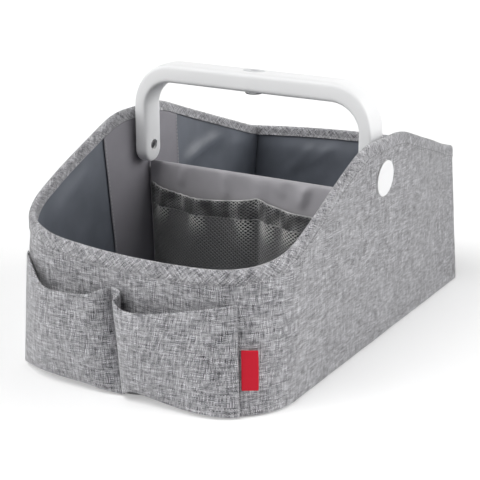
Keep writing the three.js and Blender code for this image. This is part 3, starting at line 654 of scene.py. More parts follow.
def ribbon_cloth(name):
    """Satin woven tape with fine ribs across it."""
    material, tree, shader = finish(name, {"Roughness": 0.6, "Specular IOR Level": 0.25})
    weave = put(tree, "UVMap", uv_map="weave").outputs[0]
    ribs = put(tree, "TexWave", {"Vector": weave, "Scale": 420.0, "Distortion": 0.6}, bands_direction="Y")
    color = ramp(tree, ribs.outputs["Fac"], (0.0, (0.56, 0.007, 0.023)), (1.0, (0.74, 0.014, 0.04)))
    paint(tree, shader, color)
    bump(tree, shader, ribs.outputs["Fac"], 0.00015, 0.5)
    return material


def sewing_thread(name, dark, light):
    material, tree, shader = finish(name, {"Roughness": 0.6})
    paint(tree, shader, ramp(tree, object_noise(tree, 1800.0, 1.0), (0.35, dark), (0.65, light)))
    return material


def moulded_plastic(name, dark, light, rough):
    """Satin moulded plastic: a faint cloudiness and a fine spark-eroded grain."""
    material, tree, shader = finish(name, {"Specular IOR Level": 0.45})
    color = ramp(tree, object_noise(tree, 18.0, 2.0), (0.3, dark), (0.7, light))
    grain = object_noise(tree, 2600.0, 1.0)
    paint(tree, shader, color, calc(tree, "MULTIPLY_ADD", grain, 0.1, rough - 0.05))
    bump(tree, shader, grain, 0.00004, 0.3)
    return material


def plated_metal(name, dark, light, rough, stretch=(1, 1, 1)):
    material, tree, shader = finish(name, {"Metallic": 1.0})
    streaks = object_noise(tree, 900.0, 2.0, stretch)
    color = ramp(tree, streaks, (0.3, dark), (0.7, light))
    paint(tree, shader, color, calc(tree, "MULTIPLY_ADD", streaks, 0.12, rough))
    return material


def clear_lens(name):
    material, tree, shader = finish(name, {"Transmission Weight": 0.85, "IOR": 1.49})
    haze = object_noise(tree, 500.0, 2.0)
    color = ramp(tree, haze, (0.3, (0.45, 0.46, 0.47)), (0.7, (0.58, 0.6, 0.61)))
    paint(tree, shader, color, calc(tree, "MULTIPLY_ADD", haze, 0.1, 0.05))
    return material


def pressed_board(name, dark, light):
    """Fibre board, or a printed circuit, with a mottled surface."""
    material, tree, shader = finish(name, {"Roughness": 0.8})
    fibres = object_noise(tree, 300.0, 3.0, (1, 1, 0.3))
    paint(tree, shader, ramp(tree, fibres, (0.3, dark), (0.7, light)))
    bump(tree, shader, fibres, 0.0002, 0.4)
    return material


BRUSHED = (1, 1, 0.05)
heather = heather_cloth("heather_cloth")
lining = lining_cloth("lining_cloth")
# The divider's cloth and the side panels' cloth are one cloth: the divider's copy is lighter (painted light) and the
# side panels' copy darker (painted shade).
painted_light_divider_cloth = panel_cloth("divider_cloth", (0.42, 0.408, 0.43), (0.48, 0.466, 0.49))
painted_shade_loop_cloth = panel_cloth("panel_cloth", (0.25, 0.241, 0.264), (0.292, 0.282, 0.307))
net = mesh_cloth("mesh_cloth")
ribbon = ribbon_cloth("red_ribbon")
grey_thread = sewing_thread("grey_thread", (0.2, 0.2, 0.205), (0.36, 0.36, 0.365))
pale_thread = sewing_thread("pale_thread", (0.4, 0.4, 0.4), (0.62, 0.62, 0.62))
white = moulded_plastic("white_plastic", (0.855, 0.86, 0.865), (0.885, 0.887, 0.89), 0.34)
pale = moulded_plastic("pale_plastic", (0.6, 0.605, 0.62), (0.66, 0.665, 0.68), 0.42)
black = moulded_plastic("black_plastic", (0.018, 0.018, 0.02), (0.03, 0.03, 0.032), 0.5)
chrome = plated_metal("chrome", (0.3, 0.305, 0.31), (0.4, 0.405, 0.41), 0.14)
steel = plated_metal("zinc_steel", (0.42, 0.42, 0.44), (0.56, 0.56, 0.58), 0.28, BRUSHED)
# A dark copy of the plated steel: painted shade for the arms' screw recesses.
dark_steel = plated_metal("dark_steel", (0.1, 0.1, 0.105), (0.17, 0.17, 0.175), 0.4, BRUSHED)
clear = clear_lens("clear_lens")
board = pressed_board("fibre_board", (0.035, 0.035, 0.036), (0.065, 0.064, 0.062))
circuit = pressed_board("circuit_green", (0.02, 0.1, 0.035), (0.04, 0.17, 0.06))


# Walls

def foot_rounding(x):
    """How much rounder the foot of the front is under each pocket, by the way across the front."""
    near = (math.exp(-((x - at) / reach) ** 2) for at, reach in (LEFT_ROUNDING, RIGHT_ROUNDING))
    return FOOT_ROUNDING * sum(near)


def turn_under(point, z):
    """How far the outer cloth has turned in towards the base at a height."""
    radius = FOOT_TURN + (foot_rounding(point.x) if point.y < FRONT + FRONT_RADIUS else 0.0)
    if z >= radius:
        return 0.0
    return radius - math.sqrt(radius ** 2 - (radius - z) ** 2)


def outer_sheet(name, start, length, columns, node, boards):
    def place(u, v):
        distance = start + denser_ends(u) * length
        top = rim_at(distance) - UNDER_BINDING
        z = mix(CLOTH_FOOT, top, v ** 1.4)
        uneven = UNEVEN * wander(distance * 26, z * 26, 1.0) * smooth(top - z, 0.0, 0.02)
        point, _ = plan_point(distance)
        return wall_point(distance, turn_under(point, z) - uneven, z), (distance, z)

    size = (columns, WALL_ROWS)
    piece, _ = sheet_piece(name, size, place, heather, "body", "heather_cloth", [node], CLOTH)
    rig.sheet(piece, held="stretched", rests_on=boards, **wall_cut(start, length, CLOTH_FOOT))
    return piece


TAPE_RADIUS = (LINING_DEPTH + OUTSIDE_STAND + INSIDE_STAND) / 2
TAPE_MIDDLE = TAPE_RADIUS - OUTSIDE_STAND
TAPE_OUTSIDE = BINDING_OUTSIDE - TAPE_RADIUS
TAPE_INSIDE = BINDING_INSIDE - TAPE_RADIUS
TAPE_WIDTH = TAPE_OUTSIDE + math.pi * TAPE_RADIUS + TAPE_INSIDE


def tape_profile(v):
    """Depth, drop below the rim and run of the folded tape, from its outside edge to its inside edge."""
    run = v * TAPE_WIDTH
    if run <= TAPE_OUTSIDE:
        return -OUTSIDE_STAND, BINDING_OUTSIDE - run, run
    if run >= TAPE_WIDTH - TAPE_INSIDE:
        return LINING_DEPTH + INSIDE_STAND, BINDING_INSIDE - (TAPE_WIDTH - run), run
    angle = (run - TAPE_OUTSIDE) / TAPE_RADIUS
    depth = TAPE_MIDDLE - TAPE_RADIUS * math.cos(angle)
    return depth, TAPE_RADIUS - TAPE_RADIUS * math.sin(angle), run


def binding_tape(name, start, length, columns, node, covers):
    """Tape folded over the rim, drawn in along its two rows of stitches."""
    sides = {
        "outside": (1, -OUTSIDE_STAND, BINDING_OUTSIDE - STITCH_INSET, grey_thread),
        "inside": (-1, LINING_DEPTH + INSIDE_STAND, BINDING_INSIDE - STITCH_INSET, pale_thread),
    }

    def place(u, v):
        distance = start + denser_ends(u) * length
        depth, drop, run = tape_profile(v)
        way, _, row, _ = sides["outside" if run < TAPE_WIDTH / 2 else "inside"]
        pulled = STITCH_PULL * math.exp(-(((drop - row) / PULL_WIDTH) ** 2))
        puffed = TAPE_PUFF * wander(distance * 90, way, 2.0) * smooth(drop, 0.004, 0.008)
        depth += TAPE_EDGE_LIFT * smooth(run, TAPE_WIDTH - TAPE_EDGE, TAPE_WIDTH)
        z = rim_at(distance) - drop
        diagonal = ((distance - run) * math.sqrt(0.5) + 1, (distance + run) * math.sqrt(0.5))
        return wall_point(distance, depth + way * (pulled - puffed), z), diagonal

    tape, _ = sheet_piece(name, (columns, 18), place, heather, "body", "heather_cloth", [node], BINDING)
    rows = []
    for side, (way, depth, drop, thread) in sides.items():
        rows.append(stitches(
            f"{name}_{side}_stitches",
            lambda run: wall_point(start + run, depth, rim_at(start + run) - drop),
            length - STITCH_LENGTH, lambda run: plan_point(start + run)[1] * way,
            thread, "body", "heather_cloth",
        ))
    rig.sheet(tape, flat=(length, TAPE_WIDTH), held="folded", rests_on=covers, with_pieces=rows)


def left_at(y):
    """Way along the wall of a place on the left side."""
    return LEFT_SIDE_START + BACK - BACK_RADIUS - y


def back_at(x):
    """Way along the wall of a place on the back."""
    return WRAP_LENGTH + HALF_WIDTH - BACK_RADIUS - x


LOOSENESS = 0.0036
CLEAR_OF_TAPE = 0.016
CLEAR_OF_FLOOR = 0.03
CLEAR_OF_SEAM = 0.006
LINING_CREASES = (
    ((left_at(0.07), 0.113), (left_at(0.14), 0.132), 0.0025, 0.0075),
    ((left_at(-0.13), 0.11), (left_at(-0.07), 0.146), 0.0014, 0.009),
    ((back_at(-0.078), 0.08), (back_at(-0.035), 0.125), 0.002, 0.0065),
    ((back_at(-0.057), 0.089), (back_at(-0.013), 0.1235), 0.0014, 0.0055),
    ((back_at(0.03), 0.085), (back_at(0.07), 0.122), 0.0018, 0.0065),
)


def wrinkle(distance, z, rim):
    """Loose diagonal folds of the lining, in towards the middle, fading out at tape and floor."""
    across, down = (distance + z) * math.sqrt(0.5), (distance - z) * math.sqrt(0.5)
    fold = wander(across * 24, down * 5, 7.0)
    fine = 0.3 * wander(across * 58, down * 16, 9.0)
    clear_top = smooth(rim - BINDING_INSIDE - z, 0.0, CLEAR_OF_TAPE)
    loose = LOOSENESS * max(fold + fine + 0.08, 0.0) + creased(distance, z, LINING_CREASES)
    return loose * clear_top * smooth(z, LINING_FOOT, CLEAR_OF_FLOOR)


def panel_cover(distance):
    """1 where a side panel lies over the lining, fading to 0 beside it."""
    point, _ = plan_point(distance)
    if abs(point.x) < HALF_WIDTH - BACK_RADIUS:
        return 0.0
    margin = 0.012
    before = smooth(point.y, PANEL_LOW.y - margin, PANEL_LOW.y)
    return before - smooth(point.y, PANEL_HIGH.y, PANEL_HIGH.y + margin)


def lining_sheet(name, start, length, columns, node, boards):
    def place(u, v):
        distance = start + (1 - u) * length
        rim = rim_at(distance)
        z = mix(LINING_FOOT, rim - UNDER_BINDING, v)
        loose = wrinkle(distance, z, rim) * (1 - panel_cover(distance))
        seam = smooth(min(u, 1 - u) * length, 0.0, CLEAR_OF_SEAM)
        return wall_point(distance, LINING_DEPTH + loose * seam, z), (distance, z)

    size = (columns, WALL_ROWS)
    piece, _ = sheet_piece(name, size, place, lining, "body", "lining_cloth", [node], LINING)
    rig.sheet(piece, held="hung", rests_on=boards, **wall_cut(start, length, LINING_FOOT))
    return piece


def front_board(node):
    """The stiff board bent round the front, between the outer cloth and the lining."""
    start, length = sum(RUN_LENGTHS[:2]), sum(RUN_LENGTHS[2:5])
    depth, thickness, foot, top = 0.0014, 0.0022, 0.017, 0.012

    def place(u, v):
        distance = start + u * length
        z = mix(foot, rim_at(distance) - top, v)
        return wall_point(distance, depth, z), (distance, z)

    sheet_piece("front_stiffener", (100, 12), place, board, "body", "stiff_board", [node], thickness)


def floor_sheet(name, node, material, slot, faces_up, held=None, inset=None):
    """A flat sheet with the plan's outline, between the heights of its node."""
    low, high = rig.box(node)
    inset = inset or HALF_WIDTH - high.x
    front, back = FRONT + inset, BACK - inset
    ends = ((front, FRONT_RADIUS - inset, 1), (back, max(BACK_RADIUS - inset, 0.001), -1))

    def half_width(y):
        half = HALF_WIDTH - inset
        for end, radius, way in ends:
            into = (y - end) * way
            if into < radius:
                half -= radius - math.sqrt(max(radius ** 2 - (radius - into) ** 2, 0.0))
        return half

    def place(u, v):
        y = mix(front, back, 0.5 - 0.5 * math.cos(math.pi * v))
        side = u if faces_up else 1 - u
        x = (2 * side - 1) * half_width(y)
        drawn_in = 0.0 if faces_up else foot_rounding(x) * (1 - smooth(y - front, 0.0, 0.05))
        return lean(Vector((x, y + drawn_in, 0)), high.z if faces_up else low.z), (x + 1, y + 1)

    piece, area = sheet_piece(name, (40, 60), place, material, "body", slot, [node], high.z - low.z)
    if held:
        flat = (2 * half_width(0.0), back - front)
        area = min(area, flat[0] * flat[1])
        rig.sheet(piece, flat=flat, held=held, rests_on=["base_stiffener"], area=area)


def side_panel(name, node, way, covers):
    """A panel of cloth over the lining, its folded edges standing a little off the wall; its cloth is the darker copy
    of the divider's cloth, painted shade.
    """
    low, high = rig.box(node)
    width = high.y - low.y
    foot = LINING_FOOT + 0.0004
    under_tape, hem, waviness = 0.0003, 0.0032, 0.0006
    stitch_inset, stitch_foot = 0.0012, 0.003

    def distance_at(along, z):
        y = high.y - along - PANEL_SLANT * (z / RIM_PEAK - 0.65) * along / width
        if way < 0:
            return left_at(y)
        return RIGHT_SIDE_START + y - FRONT - FRONT_RADIUS

    def top_at(along):
        return rim_at(distance_at(along, RIM_PEAK)) - BINDING_INSIDE - under_tape

    def place(u, v):
        along = width * (1 - u if way < 0 else u)
        z = mix(foot, top_at(along), v)
        edge = min(along, width - along)
        lifted = PANEL_LIFT * (1 - smooth(edge, 0.0, hem))
        wave = waviness * wander(z * 50, along * 400, 4.0) * (1 - smooth(edge, 0.0, 0.004))
        point = wall_point(distance_at(along, z), PANEL_DEPTH + lifted, z)
        return point + Vector((0, wave, 0)), (along, z)

    piece, area = sheet_piece(name, (60, 40), place, painted_shade_loop_cloth, "body", "panel_cloth", [node], PANEL)
    depth = PANEL_DEPTH + PANEL_LIFT
    rows = []
    for edge_name, along in (("front", width - stitch_inset), ("back", stitch_inset)):
        rows.append(stitches(
            f"{name}_{edge_name}_stitches",
            lambda run: wall_point(distance_at(along, foot + run), depth, foot + stitch_foot + run),
            top_at(along) - foot - 2 * stitch_foot,
            lambda run: -plan_point(distance_at(along, foot + run))[1],
            pale_thread, "body", "panel_cloth",
        ))
    tall = max(top_at(width * i / 20) for i in range(21)) - foot
    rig.sheet(piece, flat=(width, tall), held="hung", rests_on=[covers], area=area, with_pieces=rows)


# Front pockets. A point of an edge is its way along the wall from the seam between the pockets, its way out
# from the wall, and its height.

POCKET_SEAM = FRONT_MIDDLE - 0.008
POCKET_CLOTH = 0.0013
POCKET_BELLY = 0.003
POCKET_UNEVEN = 0.0018
POCKET_BOTTOM = 0.14
GUSSET_BELLY = 0.4
LEFT_GUSSET = (
    ((-0.112, 0.0005, 0.0955), (-0.105, 0.001, 0.0962), (-0.098, 0.002, 0.0972), (-0.0906, 0.003, 0.0984)),
    ((-0.112, 0.0005, 0.0015), (-0.111, 0.004, 0.0015), (-0.107, 0.008, 0.002), (-0.1007, 0.011, 0.0025)),
)
LEFT_FRONT = (
    ((-0.0906, 0.003, 0.0984), (-0.0775, 0.0065, 0.0946), (-0.0688, 0.01, 0.0886),
     (-0.0577, 0.0135, 0.0833), (-0.0391, 0.016, 0.0837), (-0.0206, 0.0145, 0.0852),
     (-0.0143, 0.0128, 0.0872), (-0.0087, 0.01, 0.0899), (-0.0053, 0.0055, 0.0907),
     (-0.0046, 0.0008, 0.0908)),
    ((-0.1007, 0.011, 0.0025), (-0.0889, 0.01, 0.0058), (-0.0768, 0.0095, 0.0073),
     (-0.0642, 0.009, 0.0075), (-0.0448, 0.0085, 0.0065), (-0.027, 0.0082, 0.0055),
     (-0.0175, 0.0074, 0.0042), (-0.0092, 0.0056, 0.0032), (-0.0018, 0.0032, 0.002),
     (0.003, 0.0006, 0.0009)),
)
RIGHT_GUSSET = (
    ((-0.0046, 0.0008, 0.0908), (0.0042, 0.0034, 0.0898), (0.0066, 0.008, 0.0884), (0.0065, 0.012, 0.0873),
     (0.0056, 0.015, 0.0861)),
    ((0.003, 0.0006, 0.0009), (0.0047, 0.003, 0.002), (0.0065, 0.0056, 0.0034), (0.0082, 0.008, 0.0047),
     (0.0099, 0.01, 0.0057)),
)
RIGHT_FRONT = (
    ((0.0056, 0.015, 0.0861), (0.0119, 0.017, 0.0815), (0.0237, 0.0175, 0.0799), (0.0418, 0.0168, 0.0821),
     (0.0612, 0.0145, 0.0864), (0.078, 0.011, 0.0906), (0.0905, 0.007, 0.0929), (0.1024, 0.0026, 0.0942)),
    ((0.0099, 0.01, 0.0057), (0.0139, 0.0104, 0.0083), (0.0189, 0.0102, 0.0101), (0.0285, 0.0096, 0.0089),
     (0.0419, 0.0086, 0.0068), (0.0628, 0.007, 0.0042), (0.0843, 0.0048, 0.0027), (0.1064, 0.0024, 0.0013)),
)
RIGHT_END_TOP, RIGHT_END_FOOT = RIGHT_FRONT[0][-1], RIGHT_FRONT[1][-1]


def on_front(along, out, z):
    """A point on the outer face of cloth that lies on the front wall or stands off it."""
    laid = POCKET_CLOTH * math.exp(-out / 0.003)
    return wall_point(POCKET_SEAM + along, -(out + laid), z)


def right_end(z):
    """Where the right pocket is sewn down: its end leans, like the corner of the wall."""
    return mix(RIGHT_END_FOOT[0], RIGHT_END_TOP[0], z / RIGHT_END_TOP[2])


def front_pocket(name, node, gusset, front, seed, covers):
    """A bellied pocket: a gusset runs out from the wall to a crease, and the front runs back in."""
    panels = (gusset, front)
    counts = [len(top) - 1 for top, _ in panels]
    middles = [(Vector(top) + Vector(foot)) / 2 for panel in panels for top, foot in zip(*panel)]
    widths = [0.0]
    for before, after in zip(middles, middles[1:]):
        if (after - before).length > 1e-6:
            widths.append(widths[-1] + (after - before).length)

    def place(u, v):
        run = u * sum(counts)
        at_front = run > counts[0] + 1e-4
        share = (run - counts[0]) / counts[1] if at_front else min(run / counts[0], 1.0)
        top, foot = (curve_point(edge, share) for edge in panels[at_front])
        rise = max(v - POCKET_BOTTOM, 0.0) / (1 - POCKET_BOTTOM)
        along, out, z = mix(foot, top, rise)
        slack = math.sin(math.pi * rise) * math.sin(math.pi * share)
        belly = POCKET_BELLY + POCKET_UNEVEN * wander(along * 30, z * 24, seed)
        out += slack * belly * (1 if at_front else GUSSET_BELLY)
        under = min(v / POCKET_BOTTOM, 1.0) ** 0.7
        first = min(int(run), len(widths) - 2)
        weave = (mix(widths[first], widths[first + 1], run - first), z - (1 - under) * out)
        return on_front(along, max(out * under, 0.0002), z), weave

    size = (7 * sum(counts), 44)
    piece, area = sheet_piece(name, size, place, heather, "body", "heather_cloth", [node], POCKET_CLOTH)
    tall = max(top[2] - foot[2] + foot[1] for panel in panels for top, foot in zip(*panel))
    wide = max(widths[-1], area / tall)
    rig.sheet(piece, flat=(wide, tall), held="hung", rests_on=[covers], area=area)
    return piece


def right_end_stitches():
    """A row down the right pocket, where its end is sewn to the wrap."""
    inset, foot, stand = 0.0035, 0.004, 0.0026
    stitches(
        "right_pocket_end_stitches",
        lambda run: on_front(right_end(foot + run) - inset, stand, foot + run),
        RIGHT_END_TOP[2] - 2 * foot,
        lambda run: plan_point(POCKET_SEAM + right_end(foot + run) - inset)[1],
        grey_thread, "body", "heather_cloth",
    )


def red_tab(beside):
    """A folded loop of tape, sewn in at the end of the right pocket, its fold standing off the wall."""
    low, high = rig.box("red_tab")
    width, tape, from_pocket = 0.0122, 0.0009, 0.0018

    def place(u, v):
        z = mix(low.z, high.z, v)
        stand = 0.0008 + 0.0022 * u ** 1.5 + 0.0006 * math.sin(math.pi * v) * u
        along = right_end(z) + from_pocket + width * u
        return wall_point(POCKET_SEAM + along, -stand - tape, z), (width * u, z)

    piece, _ = sheet_piece(
        "red_tab_ribbon", (14, 24), place, ribbon, "body", "red_cloth", ["red_tab"], tape)
    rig.sheet(piece, flat=(width, high.z - low.z), held="folded", rests_on=[beside])


# Pivots

CAP_LOW, CAP_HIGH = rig.box("right_pivot_cap")
SCREW_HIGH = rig.box("right_pivot_screw")[1]
CAP_RADIUS = 0.0155
CAP_THICKNESS = 0.001
CAP_CROWN = 0.0004
ARM_OUT = HANDLE_HIGH.x
ARM_THICKNESS = 0.0125
ARM_IN = ARM_OUT - ARM_THICKNESS
POST_RADIUS = 0.005
RECESS_RADIUS = 0.0044
RECESS_FLOOR = ARM_IN + 0.004
POST_BORE_END = RECESS_FLOOR + 0.002
PILOT_RADIUS = 0.00205
ARM_SCREW_HEAD = 0.0041
ARM_SCREW_SHANK = 0.00175
ARM_SCREW_LENGTH = 0.015
ARM_SCREW_HEIGHT = 0.0025


def on_pivot(side):
    """Turns a piece made about +Z so that it lies along +X or -X, on the pivot axis."""
    turn = Matrix.Rotation(math.pi / 2 if side > 0 else -math.pi / 2, 4, "Y")
    return Matrix.Translation((0, PIVOT.y, PIVOT.z)) @ turn


def pivot_cap(name, side):
    """A round cap with its post; its flange follows the lean of the wall and lies flush on the cloth."""
    face = CAP_HIGH.x - CAP_CROWN
    inside = face - CAP_THICKNESS
    rounding, edge = 0.0007, 0.0003
    blind_end = SCREW_HIGH.x + 0.0006
    profile = [
        (0, blind_end), (PILOT_RADIUS, blind_end), (PILOT_RADIUS, CAP_LOW.x),
        (POST_RADIUS - edge, CAP_LOW.x), (POST_RADIUS, CAP_LOW.x + edge), (POST_RADIUS, inside),
        (CAP_RADIUS, inside),
    ]
    for sine, cosine in quarter_round(6):
        profile.append((CAP_RADIUS - rounding * (1 - cosine), face - rounding * (1 - sine)))
    for i in range(1, 9):
        radius = (CAP_RADIUS - rounding) * (1 - i / 8)
        profile.append((radius, face + CAP_CROWN * (1 - (radius / CAP_RADIUS) ** 2)))
    bm = turned(profile, on_pivot(side), 72)
    settle = 0.0005
    for vert in bm.verts:
        if abs(vert.co.x) > inside - 1e-5:
            vert.co.x += side * (SIDE_FLARE / RIM_PEAK * (vert.co.z - PIVOT.z) - settle)
    crisp(make_piece(bm, f"{name}_cap", white, "body", "white_plastic", [f"{name}_pivot_cap"]))


def carve(piece, *cutters):
    """Cuts closed shapes out of a piece and keeps the result as its mesh."""
    tools = []
    for bm in cutters:
        mesh = bpy.data.meshes.new("cutter")
        bm.to_mesh(mesh)
        bm.free()
        tool = bpy.data.objects.new("cutter", mesh)
        bpy.context.scene.collection.objects.link(tool)
        cut = piece.modifiers.new("cut", "BOOLEAN")
        cut.object = tool
        cut.operation = "DIFFERENCE"
        cut.solver = "EXACT"
        cut.use_self = True
        tools.append(tool)
    shown = piece.evaluated_get(bpy.context.evaluated_depsgraph_get())
    result = bpy.data.meshes.new_from_object(shown)
    piece.modifiers.clear()
    piece.data = result
    result.shade_smooth()
    for tool in tools:
        bpy.data.objects.remove(tool)


def arm_screw(name, side):
    """A pan-head screw with a cross cut into its head, at the bottom of the arm's recess."""
    head, shank, height = ARM_SCREW_HEAD, ARM_SCREW_SHANK, ARM_SCREW_HEIGHT
    profile = [
        (0, -height), (head * 0.7, -height * 0.94), (head * 0.93, -height * 0.7), (head, -height * 0.4),
        (head, 0), (shank, 0), (shank, ARM_SCREW_LENGTH - shank), (0, ARM_SCREW_LENGTH),
    ]
    bm = turned(profile, Matrix.Identity(4), 40)
    # The head is dark and nearly fills the recess, so that the recess reads dark: painted shade.
    screw = make_piece(bm, f"{name}_arm_screw", dark_steel, "body", "steel", [f"{name}_pivot_screw"])
    cross = bmesh.new()
    top = Matrix.Translation((0, 0, -height))
    bar = Matrix.Diagonal((head, head * 0.2, height * 0.8, 1))
    for turn in (0, math.pi / 2):
        bmesh.ops.create_cube(cross, size=1, matrix=top @ Matrix.Rotation(turn, 4, "Z") @ bar)
    carve(screw, cross)
    seat = Matrix.Translation((0, 0, RECESS_FLOOR - 0.0003))
    screw.data.transform(on_pivot(side) @ seat)
    crisp(screw, 35)


# Handle

BAR_THICKNESS = BAR_TOP - BAR_FOOT
HANDLE_DEPTH = HANDLE_HIGH.y - HANDLE_LOW.y
CORNER_X = 0.0788
CORNER_Z = 0.1868
CORNER_RADIUS = BAR_TOP - BAR_THICKNESS / 2 - CORNER_Z
ARM_FOOT = HANDLE_LOW.z
BAR_SQUARENESS = {"outside": 5.0, "inside": 5.2}
ARM_SQUARENESS = {"outside": 10.0, "inside": 4.6}
BUTTON_LENGTH = 0.021
BUTTON_WIDTH = 0.012
PLATE_CLEARANCE = 0.0003
BUTTON_CLEARANCE = 0.00025
CAVITY_TOP = BAR_TOP - 0.0025
CAVITY_HALF_WIDTH = 0.0065


def handle_section(vert):
    """Moves a point of a unit circle to the bar's section, a flat oblong with round shoulders."""
    power = 2 / BAR_SQUARENESS["outside" if vert.co.z >= 0 else "inside"]
    y = math.copysign(abs(vert.co.y) ** power, vert.co.y) * HANDLE_DEPTH / 2
    z = math.copysign(abs(vert.co.z) ** power, vert.co.z) * BAR_THICKNESS / 2
    vert.co = Vector((0, PIVOT.y + y, CORNER_Z + CORNER_RADIUS + z))


def taper_arm(vert):
    """Thins and squares the bar's section to the arm's through the corner."""
    x, z = vert.co.x - CORNER_X, vert.co.z - CORNER_Z
    if x <= 0:
        return
    angle = math.atan2(x, z)
    turned_by = smooth(angle, 0.0, math.pi / 2)
    up = (math.hypot(x, z) - CORNER_RADIUS) / (BAR_THICKNESS / 2)
    across = (vert.co.y - PIVOT.y) / (HANDLE_DEPTH / 2)
    part = "outside" if up >= 0 else "inside"
    power = 1 / mix(1.0, ARM_SQUARENESS[part] / BAR_SQUARENESS[part], turned_by)
    thickness = mix(BAR_THICKNESS, ARM_THICKNESS, turned_by)
    radius = CORNER_RADIUS + math.copysign(abs(up) ** power, up) * thickness / 2
    vert.co.y = PIVOT.y + math.copysign(abs(across) ** power, across) * HANDLE_DEPTH / 2
    vert.co.x = CORNER_X + radius * math.sin(angle)
    vert.co.z = CORNER_Z + radius * math.cos(angle)


def grow(bm, edges, move):
    """Extrudes a ring of edges, moves its new points and returns the new ring."""
    made = bmesh.ops.extrude_edge_only(bm, edges=edges)["geom"]
    verts = [item for item in made if isinstance(item, bmesh.types.BMVert)]
    for vert in verts:
        move(vert)
    new = [item for item in made if isinstance(item, bmesh.types.BMEdge)]
    return [edge for edge in new if edge.verts[0] in verts and edge.verts[1] in verts]


def handle_half(bm):
    """The right half of the bow: bar, corner and arm, with the arm's round end."""
    upright = Matrix.Rotation(math.pi / 2, 4, "Y")
    ring = bmesh.ops.create_circle(bm, segments=56, radius=1, matrix=upright)["verts"]
    for vert in ring:
        handle_section(vert)
    edges = list({edge for vert in ring for edge in vert.link_edges})
    for i in range(1, 9):
        x = CORNER_X * i / 8
        edges = grow(bm, edges, lambda vert: setattr(vert.co, "x", x))
    verts = list({vert for edge in edges for vert in edge.verts})
    swept = bmesh.ops.spin(
        bm, geom=verts + edges, axis=(0, 1, 0), cent=(CORNER_X, 0, CORNER_Z),
        steps=18, angle=math.pi / 2,
    )["geom_last"]
    edges = [item for item in swept if isinstance(item, bmesh.types.BMEdge)]
    for vert in bm.verts:
        taper_arm(vert)
    round_top = ARM_FOOT + HANDLE_DEPTH / 2
    for i in range(1, 4):
        z = mix(CORNER_Z, round_top, i / 3)
        edges = grow(bm, edges, lambda vert: setattr(vert.co, "z", z))

    middle = ARM_OUT - ARM_THICKNESS / 2
    steps, nearly_shut = 12, math.radians(87)
    width, thickness = 1.0, 1.0
    for i in range(1, steps + 1):
        angle = i / steps * nearly_shut
        new_width, new_thickness = math.cos(angle), mix(0.35, 1.0, math.cos(angle) ** 0.6)

        def narrow(vert):
            vert.co.y = PIVOT.y + (vert.co.y - PIVOT.y) * new_width / width
            vert.co.x = middle + (vert.co.x - middle) * new_thickness / thickness
            vert.co.z = round_top - HANDLE_DEPTH / 2 * math.sin(angle)

        edges = grow(bm, edges, narrow)
        width, thickness = new_width, new_thickness
    bmesh.ops.contextual_create(bm, geom=edges)


def block(low, high):
    bm = bmesh.new()
    low, high = Vector(low), Vector(high)
    size = Matrix.Diagonal((*(high - low), 1))
    bmesh.ops.create_cube(bm, size=1, matrix=Matrix.Translation((low + high) / 2) @ size)
    return bm


def oval(half_length, half_width, foot, top):
    bm = bmesh.new()
    size = Matrix.Diagonal((half_length, half_width, 1, 1))
    place = Matrix.Translation((0, PIVOT.y, foot)) @ size
    bmesh.ops.create_circle(bm, cap_ends=True, segments=48, radius=1, matrix=place)
    for item in bmesh.ops.extrude_face_region(bm, geom=bm.faces[:])["geom"]:
        if isinstance(item, bmesh.types.BMVert):
            item.co.z = top
    bmesh.ops.recalc_face_normals(bm, faces=bm.faces)
    return bm


def arm_bore(side):
    """What is cut out of an arm: the recess for the screw's head and the bore for the post."""
    past = 0.006
    mouth, post = RECESS_RADIUS + 0.0005, POST_RADIUS + 0.0001
    profile = [
        (0, ARM_IN - past), (mouth, ARM_IN - past), (mouth, ARM_IN + 0.0002),
        (RECESS_RADIUS, ARM_IN + 0.0008), (RECESS_RADIUS, RECESS_FLOOR), (PILOT_RADIUS, RECESS_FLOOR),
        (PILOT_RADIUS, POST_BORE_END), (post, POST_BORE_END), (post, ARM_OUT + past), (0, ARM_OUT + past),
    ]
    return turned(profile, on_pivot(side), 48)


def handle_bow():
    bm = bmesh.new()
    handle_half(bm)
    bmesh.ops.mirror(bm, geom=bm.verts[:] + bm.edges[:] + bm.faces[:], axis="X", merge_dist=1e-5)
    bmesh.ops.remove_doubles(bm, verts=bm.verts, dist=1e-6)
    bmesh.ops.recalc_face_normals(bm, faces=bm.faces)
    piece = make_piece(bm, "handle_bow", white, "handle", "white_plastic", ["handle_frame"])

    below = BAR_FOOT - 0.004
    plate_gap = Vector((PLATE_CLEARANCE,) * 3)
    plate_low, plate_high = PLATE_LOW - plate_gap, PLATE_HIGH + plate_gap
    cell_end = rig.box("button_cell_3")[1].x + 0.0011
    carve(
        piece, arm_bore(-1), arm_bore(1),
        block((plate_low.x, plate_low.y, below), plate_high),
        block((-cell_end, PIVOT.y - CAVITY_HALF_WIDTH, below),
              (cell_end, PIVOT.y + CAVITY_HALF_WIDTH, CAVITY_TOP)),
        oval(BUTTON_LENGTH / 2 + BUTTON_CLEARANCE, BUTTON_WIDTH / 2 + BUTTON_CLEARANCE,
             CAVITY_TOP - 0.002, BAR_TOP + 0.003),
    )
    soften = piece.modifiers.new("edges", "BEVEL")
    soften.width = 0.0003
    soften.segments = 2
    soften.limit_method = "ANGLE"
    soften.angle_limit = math.radians(50)
    crisp(piece)


